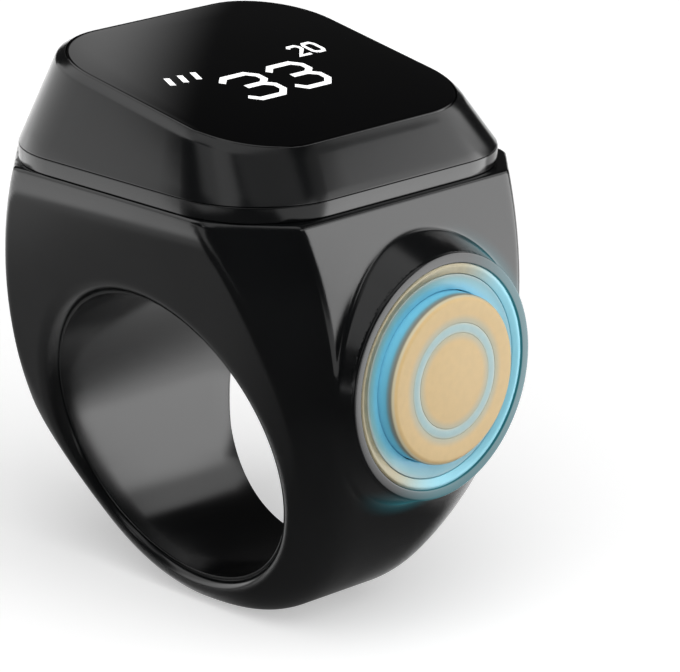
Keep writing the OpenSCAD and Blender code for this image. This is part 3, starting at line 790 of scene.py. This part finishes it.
def head_finish():
    """The one black finish that the head's two pieces share."""
    found = bpy.data.materials.get("gloss_moulded_abs")
    return found or surface("gloss_moulded_abs", bpy.context.scene.counter_colours.body, **GLOSS)


class COUNTER_OT_ring_shell(bpy.types.Operator):
    """Ring body with soft edges, the button's boss and its collar"""

    bl_idname = "counter.ring_shell"
    bl_label = "Ring body"

    def execute(self, context):
        sizes = context.scene.counter_sizes
        shell = lay_solid("ring_shell", body_sections(sizes))
        well = [(0, WELL_X), (WELL_CUT_R, WELL_X), (WELL_CUT_R, CUT_X), (0, CUT_X)]
        cut_or_join(shell, turned("well", well), "DIFFERENCE")
        cavity = lay_solid("cavity", plug(SPIGOT, REBATE_Z, BODY_TOP + 1), ring=False)
        cut_or_join(shell, cavity, "DIFFERENCE")
        ends = [round_loop(SEAT_R, side, SLEEVE_INSET - 0.02) for side in (-1, 1)]
        seat = [ends[0] * 0 + ends[0].mean(0), *ends, ends[1] * 0 + ends[1].mean(0)]
        cut_or_join(shell, lay_solid("seat", seat, ring=False), "DIFFERENCE")
        wall_r = COLLAR_R + COLLAR_PROUD
        collar = [
            (WELL_R, WELL_X), (COLLAR_ROOT_R, WELL_X), (COLLAR_ROOT_R, 14.6), (wall_r, 14.9),
            (wall_r, COLLAR_X), (WELL_R, COLLAR_X),
        ]
        profile = soften(collar, [0, 0, 0, 0, 0.16, 0.1], 5)
        cut_or_join(shell, turned("collar", profile, 192), "UNION")
        tidy_mesh(shell, 0.001 * MM)
        split_wide_faces(shell)
        smooth(shell)
        # The same resin, with a painted teal glow of the button's light beside the collar, on one
        # side only
        painted_spill_bands = [
            ("painted_halo", 0, 9.0, 1.7, 1.0, colour("#1f6a74")),
            ("x", -40, 10, 3, 1.0, (0, 0, 0)),
        ]
        shade = context.scene.counter_colours.body
        black = surface("gloss_moulded_abs_by_lamps", shade, lit=painted_spill_bands, glow=0.8, **GLOSS)
        finish_piece(shell, "ring", "gloss_black", black, "ring_body")
        return {"FINISHED"}


def round_loop(radius, side, inset, count=160):
    """A circle round the finger hole, laid into a plane parallel to a flank."""
    a = np.linspace(0, 2 * math.pi, count, endpoint=False)
    x, z = radius * np.cos(a), radius * np.sin(a)
    return np.stack([x, side * (HIP_Y + math.tan(LEAN) * z - inset), z], axis=1)


def plug(size, low, high):
    """Grid rows of a solid rounded block, from low to high."""
    loops = [level(*size, low), level(*size, high)]
    ends = [l * (0, 0, 1) for l in loops]
    return [ends[0], *loops, ends[1]]


class COUNTER_OT_sleeve(bpy.types.Operator):
    """Sleeve that lines the finger hole, with broken edges at its ends"""

    bl_idname = "counter.sleeve"
    bl_label = "Sleeve"

    def execute(self, context):
        path = [
            round_loop(BORE_R, -1, SLEEVE_INSET),
            round_loop(BORE_R, 1, SLEEVE_INSET),
            round_loop(SEAT_R - 0.02, 1, SLEEVE_INSET),
            round_loop(SEAT_R - 0.02, -1, SLEEVE_INSET),
        ]
        path = thicken_rows(soften(path, [0.08, 0.08, 0.03, 0.03]), 8)
        piece = lay_solid("sleeve", path)
        smooth(piece)
        shade = tuple(context.scene.counter_colours.sleeve)
        black = surface("polished_sleeve", shade, **SLEEVE)
        finish_piece(piece, "ring", "liner_black", black, "finger_liner")
        return {"FINISHED"}


class COUNTER_OT_head(bpy.types.Operator):
    """Frame's band and the tapered housing with its bevel round the glass"""

    bl_idname = "counter.head"
    bl_label = "Head"

    def execute(self, context):
        sizes = context.scene.counter_sizes
        seam = 0.02
        inside = grown(SPIGOT, -1.25)
        band = soften(
            [
                level(*inside, REBATE_Z + 0.2),
                level(*grown(SPIGOT, -0.02), REBATE_Z + 0.2),
                level(*grown(SPIGOT, -0.02), BODY_TOP + seam),
                level(*HEAD, BODY_TOP + seam),
                level(*HEAD, BAND_TOP - seam),
                level(*grown(SPIGOT, -0.1), BAND_TOP - seam),
                level(*grown(SPIGOT, -0.1), BAND_TOP + 0.85),
                level(*inside, BAND_TOP + 0.85),
            ],
            [0, 0, 0, 0.07, 0.07, 0, 0, 0],
        )
        piece = lay_solid("head_band", band)
        smooth(piece)
        finish_piece(piece, "ring", "gloss_black", head_finish(), "head_frame")

        sill = grown(GLASS, -1.5)
        outer = [
            level(*HEAD, BAND_TOP + seam),
            tilted(*grown(GLASS, BEZEL_W), -BEZEL_DROP),
            tilted(*grown(GLASS, 0.03), -0.01),
            tilted(*grown(GLASS, 0.03), -1.15),
            tilted(*sill, -1.15),
            tilted(*sill, -2.05),
            level(*SPIGOT, BAND_TOP + 0.9),
            level(*SPIGOT, BAND_TOP + seam),
        ]
        bezel = sizes.bezel_round / MM
        housing = soften(outer, [0.07, bezel, 0.06, 0, 0, 0, 0, 0])
        housing = thicken_rows(housing, 5)
        piece = lay_solid("head_shell", housing)
        smooth(piece)
        finish_piece(piece, "ring", "gloss_black", head_finish(), "head_housing")
        return {"FINISHED"}


def thicken_rows(rows, limit_steps):
    """Adds rows on the long stretches, so that shading stays even."""
    out = []
    for i, row in enumerate(rows):
        out.append(row)
        following = rows[(i + 1) % len(rows)]
        gap = np.linalg.norm(following - row, axis=-1).max()
        if gap > 1.5:
            for s in np.arange(1, limit_steps) / limit_steps:
                out.append(row * (1 - s) + following * s)
    return np.array(out)


class COUNTER_OT_screen(bpy.types.Operator):
    """Cover glass with a soft edge, and the display's lit signs on it"""

    bl_idname = "counter.screen"
    bl_label = "Screen"

    def execute(self, context):
        sizes, colours = context.scene.counter_sizes, context.scene.counter_colours
        clear_selection()
        bpy.ops.mesh.primitive_cube_add(size=1, location=(0, 0, -GLASS_T / 2 * MM))
        glass = rename("screen_glass")
        glass.scale = (2 * GLASS[0] * MM, 2 * GLASS[1] * MM, GLASS_T * MM)
        settle(glass)
        pick_edges(glass, lambda middle, way: abs(way.z) > 0.9)
        bpy.ops.mesh.bevel(offset=GLASS[2] * MM, segments=16, affect="EDGES")
        pick_edges(glass, lambda middle, way: abs(way.z) < 0.1 and middle.z > -0.01 * MM)
        bpy.ops.mesh.bevel(offset=sizes.glass_round, segments=5, affect="EDGES")
        pick_edges(glass, lambda middle, way: abs(way.z) < 0.1 and middle.z < -0.99 * GLASS_T * MM)
        bpy.ops.mesh.bevel(offset=0.05 * MM, segments=2, affect="EDGES")
        clear_selection()
        glass.rotation_euler.y = SCREEN_TILT
        glass.location = (SCREEN_SHIFT * MM, 0, SCREEN_Z * MM)
        settle(glass)
        smooth(glass)
        printed = surface("back_printed_glass", colours.glass, **GLASS_FINISH)
        finish_piece(glass, "ring", "screen_glass", printed, "cover_glass")

        signs = lit_signs(sizes.sign_height / MM, sizes.sign_stroke / MM)
        light = surface("white_display_light", colours.sign, **SIGN)
        finish_piece(signs, "ring", "display_panel", light)
        return {"FINISHED"}


# Strokes of the signs, in a box one unit wide and high
ZERO = ([(0.2, 0), (0, 0.2), (0, 0.8), (0.2, 1), (0.8, 1), (1, 0.8), (1, 0.2), (0.8, 0), (0.2, 0)],)
TWO = ([(0, 0.84), (0.2, 1), (0.8, 1), (1, 0.84), (1, 0.62), (0, 0), (1, 0)],)
THREE = (
    [(0, 0.84), (0.2, 1), (0.8, 1), (1, 0.84), (1, 0.66), (0.82, 0.53), (0.34, 0.53)],
    [(0.8, 0.52), (1, 0.38), (1, 0.17), (0.8, 0), (0.2, 0), (0, 0.17)],
)
BAR = ([(0.1, 0), (0.9, 1)],)
# Sign, left end and foot in mm from the screen's middle, its width and height as
# shares of the digits' height, and the stroke's share
SIGNS = (
    (THREE, -3.9, -3.35, 0.88, 1.0, 1.0),
    (THREE, 0.28, -3.35, 0.84, 1.0, 1.0),
    (TWO, 4.3, 0.75, 0.26, 0.4, 0.6),
    (ZERO, 5.65, 0.75, 0.26, 0.4, 0.6),
    (BAR, -7.1, 0.85, 0.13, 0.29, 0.9),
    (BAR, -5.95, 0.85, 0.13, 0.29, 0.9),
    (BAR, -4.8, 0.85, 0.13, 0.29, 0.9),
)


def ribbon(path, width):
    """Two rows of points on either side of a path, mitred at its corners."""
    path = np.asarray(path, float)
    way = np.diff(path, axis=0)
    way /= np.linalg.norm(way, axis=1, keepdims=True)
    before, after = np.vstack([way[:1], way]), np.vstack([way, way[-1:]])
    mitre = before + after
    mitre /= np.linalg.norm(mitre, axis=1, keepdims=True)
    reach = width / 2 / np.maximum((mitre * before).sum(1, keepdims=True), 0.5)
    aside = np.column_stack([-mitre[:, 1], mitre[:, 0]]) * reach
    return np.array([path - aside, path + aside])


def lit_signs(height, stroke):
    """All signs as one thin piece that lies on the glass."""
    parts = []
    for glyph, left, foot, wide, tall, weight in SIGNS:
        for path in glyph:
            flat = [(left + u * wide * height, foot + v * tall * height) for u, v in path]
            rows = ribbon(flat, stroke * weight)
            along, up = rows[..., 0], rows[..., 1]
            parts.append(lay_grid("stroke", on_screen(np.stack([-up, along, up * 0 + 0.004], -1))))
    clear_selection()
    for part in parts:
        part.select_set(True)
    bpy.context.view_layer.objects.active = parts[0]
    bpy.ops.object.join()
    piece = rename("lit_signs")
    tidy_mesh(piece)
    only(piece)
    thick = piece.modifiers.new("thickness", "SOLIDIFY")
    thick.thickness, thick.offset = 0.01 * MM, 1
    bpy.ops.object.modifier_apply(modifier=thick.name)
    return piece


class COUNTER_OT_button_rings(bpy.types.Operator):
    """Painted trim ring and the lit diffuser ring inside the collar"""

    bl_idname = "counter.button_rings"
    bl_label = "Button rings"

    def execute(self, context):
        colours = context.scene.counter_colours
        trim = [(6.63, 15.2), (7.33, 15.2), (7.33, 16.5), (7.16, 16.56), (6.63, 16.4)]
        piece = turned("trim_ring", soften(trim, [0, 0, 0.03, 0.16, 0.06], 6), 192)
        smooth(piece)
        # Painted glow: a teal spill of the button's light on the trim, on one side only
        lit = [("painted_halo", 0, 9, 0.1, 0.9, colour("#6fb0c2"))]
        paint = surface("champagne_paint", colours.trim, bands=lit, lit=lit, **CHAMPAGNE)
        finish_piece(piece, "ring", "trim_metal", paint, "button_trim_ring")
        light = [
            (5.58, 15.55), (6.41, 15.55), (6.41, 15.2), (6.61, 15.2),
            (6.61, 16.4), (6.25, 16.32), (5.58, 16.26),
        ]
        piece = turned("lit_ring", soften(light, [0, 0, 0, 0, 0.08, 0.2, 0.05], 5), 192)
        smooth(piece)
        # Colours of the diffuser's light: paler towards its rim, then a painted spill, bluer on one
        # side
        pale = [
            ("r", 6.05, 9, 0.6, 1.0, colour("#7eaeb3")),
            ("r", 6.45, 9, 0.4, 1.0, colour("#9ba59f")),
            ("painted_halo", 5.9, 9, 0.8, 0.7, colour("#7cbdd0")),
        ]
        glow = surface("lit_frosted_diffuser_painted_spill", colours.glow, bands=pale, **DIFFUSER)
        finish_piece(piece, "ring", "lit_plastic", glow, "light_ring")
        return {"FINISHED"}


class COUNTER_OT_button_cap(bpy.types.Operator):
    """Button cap with its stem, and the resin ring in its face"""

    bl_idname = "counter.button_cap"
    bl_label = "Button cap"

    def execute(self, context):
        colours = context.scene.counter_colours
        face, depth = 17.57, 17.135
        cap = [
            (0, face), (3.1, face), (3.1, depth), (3.75, depth), (3.75, face), (5.26, face),
            (5.51, 17.32), (5.51, 15.43), (4.91, 15.43), (4.91, 16.7), (1.5, 16.7),
            (1.5, 13.75), (1.1, 13.75), (1.1, 13.51), (1.5, 13.51), (1.5, 13.38),
            (0.8, 13.23), (0, 13.23),
        ]
        setbacks = [0, 0.02, 0, 0, 0.02, 0.16, 0.16, 0.04, 0.04, 0.2, 0.2] + [0] * 7
        piece = turned("cap_with_stem", soften(cap, setbacks, 4, loop=False), 192)
        smooth(piece)
        # Over the sand: the inlay's colour blurred round the inlay, a painted highlight on the
        # face's rounded edge, grey bands down the side wall, and on the skirt the ring's cyan as a
        # painted glow
        bands = [
            ("r", 2.85, 4.05, 0.7, 0.55, colours.inlay),
            ("x", 0, 17.46, 0.1, 1.0, colour("#cfc5a6")),
            ("x", 0, 17.33, 0.12, 1.0, colour("#86857a")),
            ("x", 0, 17.15, 0.2, 1.0, colour("#7f9496")),
            ("x", 0, 16.95, 0.3, 1.0, colours.glow),
        ]
        # Painted glow: the skirt below 16.75 mm gives off the ring's cyan light
        lit = [("x", 0, 16.75, 0.4, 1.0, colours.glow)]
        satin = surface("satin_sand_paint_with_painted_light", colours.cap, bands=bands, lit=lit, **CAP)
        finish_piece(piece, "button", "button_plastic", satin, "button_cap")
        ring = [(3.11, 17.145), (3.74, 17.145), (3.74, 17.56), (3.11, 17.56)]
        piece = turned("cap_inlay", soften(ring, [0, 0, 0.03, 0.03], 3), 192)
        smooth(piece)
        edge = [
            ("r", 0, 3.15, 0.35, 0.5, colours.cap),
            ("r", 3.7, 9, 0.35, 0.5, colours.cap),
        ]
        resin = surface("translucent_resin", colours.inlay, bands=edge, **RESIN)
        finish_piece(piece, "button", "inlay_plastic", resin, "button_inlay_ring")
        return {"FINISHED"}


class COUNTER_OT_inner_finishes(bpy.types.Operator):
    """Finishes of the pieces inside, which keep their solids"""

    bl_idname = "counter.inner_finishes"
    bl_label = "Inner pieces"

    def execute(self, context):
        made = {
            slot: surface(slot + "_finish", colour(code), **settings)
            for slot, (code, settings) in INNER.items()
        }
        for row in frame["record"]["subparts"]:
            piece = frame["nodes"][row["node"]]
            if row["material_slot"] in made:
                piece.data.materials.clear()
                piece.data.materials.append(made[row["material_slot"]])
        return {"FINISHED"}


# ------------------------------------------------------------------- stage

# The camera's turn, height and roll, and where the object's origin lies
CAMERA_TURN = math.radians(44.111)
CAMERA_HEIGHT = math.radians(17.648)
CAMERA_ROLL = math.radians(0.802)
CAMERA_OFFSET = (-5.059 * MM, -5.514 * MM, 302.207 * MM)
CAMERA_LENS = 4614.267 / 680 * 36
CAMERA_SHIFT = ((340 - 333.311) / 680, (325.918 - 336) / 680)


def view_axes():
    """Right, up and backward directions of the camera."""
    a, e, r = CAMERA_TURN, CAMERA_HEIGHT, CAMERA_ROLL
    back = Vector((math.sin(a) * math.cos(e), -math.cos(a) * math.cos(e), math.sin(e)))
    right = Vector((math.cos(a), math.sin(a), 0))
    up = back.cross(right)
    return right * math.cos(r) + up * math.sin(r), up * math.cos(r) - right * math.sin(r), back


def toward(turn, height):
    """Direction in degrees: turn 0 is in front (-Y), 90 at the button's side (+X)."""
    a, e = math.radians(turn), math.radians(height)
    return Vector((math.sin(a) * math.cos(e), -math.cos(a) * math.cos(e), math.sin(e)))


def card(name, turn, height, away, shift, size, light, fade):
    """A card with soft edges round the object, which its gloss shows.

    It faces the object. Away, shift (across and up) and size are in mm, light
    is its radiance and fade the soft share of its width and height.
    """
    a, e = math.radians(turn), math.radians(height)
    way = toward(turn, height)
    up = Vector((-math.sin(a) * math.sin(e), math.cos(a) * math.sin(e), math.cos(e)))
    across = Vector((math.cos(a), math.sin(a), 0))
    clear_selection()
    place = way * away + across * shift[0] + up * shift[1]
    bpy.ops.mesh.primitive_plane_add(size=2, location=place * MM)
    piece = rename(name)
    piece.rotation_euler = Matrix((-across, up, -way)).transposed().to_euler()
    piece.scale = (size[0] / 2 * MM, size[1] / 2 * MM, 1)
    finish = bpy.data.materials.new(name + "_cloth")
    finish.use_nodes = True
    tree = finish.node_tree
    tree.nodes.clear()
    place = add_node(tree, "ShaderNodeTexCoord").outputs["Object"]
    split = add_node(tree, "ShaderNodeSeparateXYZ", Vector=place).outputs
    back = add_node(tree, "ShaderNodeNewGeometry").outputs["Backfacing"]
    share = add_node(
        tree, "ShaderNodeMath", {"operation": "SUBTRACT"}, _0=1.0, _1=back
    ).outputs[0]
    for axis in (0, 1):
        out = add_node(tree, "ShaderNodeMath", {"operation": "ABSOLUTE"}, _0=split[axis]).outputs[0]
        soft = add_node(
            tree,
            "ShaderNodeMapRange",
            SMOOTH,
            Value=out,
            From_Min=1 - fade[axis],
            From_Max=1.0,
            To_Min=1.0,
            To_Max=0.0,
        ).outputs[0]
        share = add_node(
            tree, "ShaderNodeMath", MULTIPLY, _0=soft, _1=share
        ).outputs[0]
    clear = add_node(tree, "ShaderNodeBsdfTransparent").outputs[0]
    glow = add_node(tree, "ShaderNodeEmission", Strength=light).outputs[0]
    both = add_node(tree, "ShaderNodeMixShader", _0=share, _1=clear, _2=glow).outputs[0]
    add_node(tree, "ShaderNodeOutputMaterial", Surface=both)
    piece.data.materials.append(finish)
    piece.visible_camera = piece.visible_shadow = False
    piece.visible_diffuse = piece.visible_transmission = False


def paper(shade):
    """Matt white paper, which reads as white wherever the lamps light it."""
    finish = bpy.data.materials.new("matt_paper")
    finish.use_nodes = True
    tree = finish.node_tree
    tree.nodes.clear()
    place = add_node(tree, "ShaderNodeTexCoord").outputs["Object"]
    fibres = add_node(
        tree, "ShaderNodeTexNoise", Vector=place, Scale=1 / (0.4 * MM), Detail=2.0
    ).outputs[0]
    tone = add_node(
        tree,
        "ShaderNodeMix",
        COLOURS,
        Factor=fibres,
        _6=(*(c * 0.98 for c in shade), 1),
        _7=(*shade, 1),
    ).outputs[2]
    matt = add_node(tree, "ShaderNodeBsdfDiffuse", Color=tone)
    path = add_node(tree, "ShaderNodeLightPath").outputs
    seen = path["Is Camera Ray"]
    for other in ("Is Glossy Ray", "Is Transmission Ray"):
        seen = add_node(
            tree, "ShaderNodeMath", MAXIMUM, _0=seen, _1=path[other]
        ).outputs[0]
    strength = add_node(tree, "ShaderNodeMath", MULTIPLY, _0=seen, _1=FLOOR_LIFT)
    lift = add_node(tree, "ShaderNodeEmission", Strength=strength.outputs[0])
    both = add_node(tree, "ShaderNodeAddShader", _0=matt.outputs[0], _1=lift.outputs[0])
    add_node(tree, "ShaderNodeOutputMaterial", Surface=both.outputs[0])
    return finish


# How much the floor's white is lifted where it is seen or mirrored
FLOOR_LIFT = 0.45
# Name, turn, height, distance, shift, size, radiance and soft share of the edges
CARDS = (
    ("right", 136, 0, 55, (-1, 16), (46, 66), 4.5, (0.2, 0.25)),
    ("right_middle", 140, 37.3, 217, (0, 0), (140, 30), 2.1, (0.15, 0.1)),
    ("right_wide", 104, 43, 217, (0, 0), (140, 44), 2.0, (0.25, 0.1)),
    ("right_upper", 142, 46, 218, (0, 0), (130, 36), 0.25, (0.15, 0.1)),
    ("right_floor", 133, -90, 12.15, (0, 52), (44, 84), 3.3, (0.3, 0.8)),
    ("right_high", 136, 0, 57, (29, 58), (36, 48), 1.8, (0.3, 0.5)),
    ("left", 315, 0, 60, (-22, 4), (79, 36), 2.3, (0.12, 0.4)),
    ("left_high", 315, 0, 62, (-22, 46), (80, 66), 1.45, (0.12, 0.15)),
    ("left_top", 302, 58, 84, (0, -8), (60, 52), 1.7, (0.3, 0.3)),
    ("far_left", 256, 0, 64, (0, 8), (50, 44), 1.6, (0.2, 0.3)),
    ("back_left", 222, 28, 80, (14, 20), (24, 60), 0.68, (1.0, 0.3)),
    ("overhead", 0, 90, 200, (0, 0), (170, 170), 1.0, (0.2, 0.2)),
    ("front_stripe", 19, 50, 90, (0, 0), (24, 84), 1.1, (0.3, 0.2)),
    ("right_top", 75, 62, 90, (0, 0), (70, 30), 0.4, (0.3, 0.3)),
    # Grey cloths on the floor, which keep its white out of the black gloss
    ("cloth_right", 60, -90, 12.05, (-45, 99), (132, 200), 0.07, (0.07, 0.08)),
    ("cloth_left", -42, -90, 12.1, (0, 112), (150, 200), 0.32, (0.2, 0.08)),
    ("cloth_near", 45, -90, 12.0, (14, 22), (80, 60), 0.16, (0.9, 0.9)),
    ("left_floor", -45, -90, 11.95, (-20, 55), (74, 22), 0.7, (0.2, 0.95)),
    # A black flag beyond the cloths, where the facets mirror the horizon
    ("flag", 35, -4, 205, (0, 0), (280, 90), 0.03, (0.15, 0.1)),
    # Cards straight in front, which the wall of the button's boss mirrors
    ("boss_fill", 0, 50, 120, (0, 0), (60, 60), 0.8, (0.6, 0.6)),
    ("boss_streak", 3, 24, 120, (0, 0), (16, 40), 2.6, (0.6, 0.6)),
)
# The sun behind a wide sheet of silk: turn, height, width in degrees, strength
SUN = (58, 52, 70, 2.85)
# World's grey: a dark studio
STUDIO = 0.03


class COUNTER_OT_stage(bpy.types.Operator):
    """Floor, lamps, world and the camera"""

    bl_idname = "counter.stage"
    bl_label = "Stage"

    def execute(self, context):
        scene = context.scene
        low = CAD_BOX[0].z
        clear_selection()
        bpy.ops.mesh.primitive_plane_add(size=6, location=(0, 0, low))
        floor = rename("floor")
        settle(floor)
        floor.data.materials.append(paper(scene.counter_colours.floor))
        for row in CARDS:
            card(*row)
        clear_selection()
        bpy.ops.object.light_add(type="SUN")
        sun = rename("sun")
        sun.rotation_euler = toward(*SUN[:2]).to_track_quat("Z", "Y").to_euler()
        sun.data.angle, sun.data.energy = math.radians(SUN[2]), SUN[3]
        sun.visible_glossy = False

        world = bpy.data.worlds.new("studio")
        world.use_nodes = True
        world.node_tree.nodes["Background"].inputs[0].default_value = (STUDIO, STUDIO, STUDIO, 1)
        scene.world = world

        right, up, back = view_axes()
        clear_selection()
        bpy.ops.object.camera_add()
        camera = rename("camera")
        offset = CAMERA_OFFSET
        place = right * -offset[0] + up * -offset[1] + back * offset[2]
        turn = Matrix((right, up, back)).transposed().to_4x4()
        camera.matrix_world = Matrix.Translation(place) @ turn
        camera.data.sensor_width = 36
        camera.data.lens = CAMERA_LENS
        camera.data.shift_x, camera.data.shift_y = CAMERA_SHIFT
        camera.data.clip_start, camera.data.clip_end = 0.01, 10
        scene.camera = camera
        scene.view_settings.view_transform = "Standard"
        return {"FINISHED"}


# ------------------------------------------------------------------- panel

OPERATORS = (
    COUNTER_OT_ring_shell,
    COUNTER_OT_sleeve,
    COUNTER_OT_head,
    COUNTER_OT_screen,
    COUNTER_OT_button_rings,
    COUNTER_OT_button_cap,
    COUNTER_OT_inner_finishes,
    COUNTER_OT_stage,
)


class COUNTER_PT_pieces(bpy.types.Panel):
    """Lists the sizes, the colours and the steps that build the counter"""

    bl_label = "Finger counter"
    bl_space_type = "VIEW_3D"
    bl_region_type = "UI"
    bl_category = "Counter"

    def draw(self, context):
        for group in (context.scene.counter_sizes, context.scene.counter_colours):
            column = self.layout.column()
            for name in type(group).__annotations__:
                column.prop(group, name)
        for step in OPERATORS:
            self.layout.operator(step.bl_idname)


CLASSES = (CounterSizes, CounterColours, *OPERATORS, COUNTER_PT_pieces)


def register():
    for item in CLASSES:
        bpy.utils.register_class(item)
    bpy.types.Scene.counter_sizes = PointerProperty(type=CounterSizes)
    bpy.types.Scene.counter_colours = PointerProperty(type=CounterColours)


def unregister():
    del bpy.types.Scene.counter_sizes, bpy.types.Scene.counter_colours
    for item in reversed(CLASSES):
        bpy.utils.unregister_class(item)


def main():
    """Builds everything in order."""
    register()
    for step in OPERATORS:
        group, name = step.bl_idname.split(".")
        getattr(getattr(bpy.ops, group), name)()


if __name__ == "__main__":
    main()
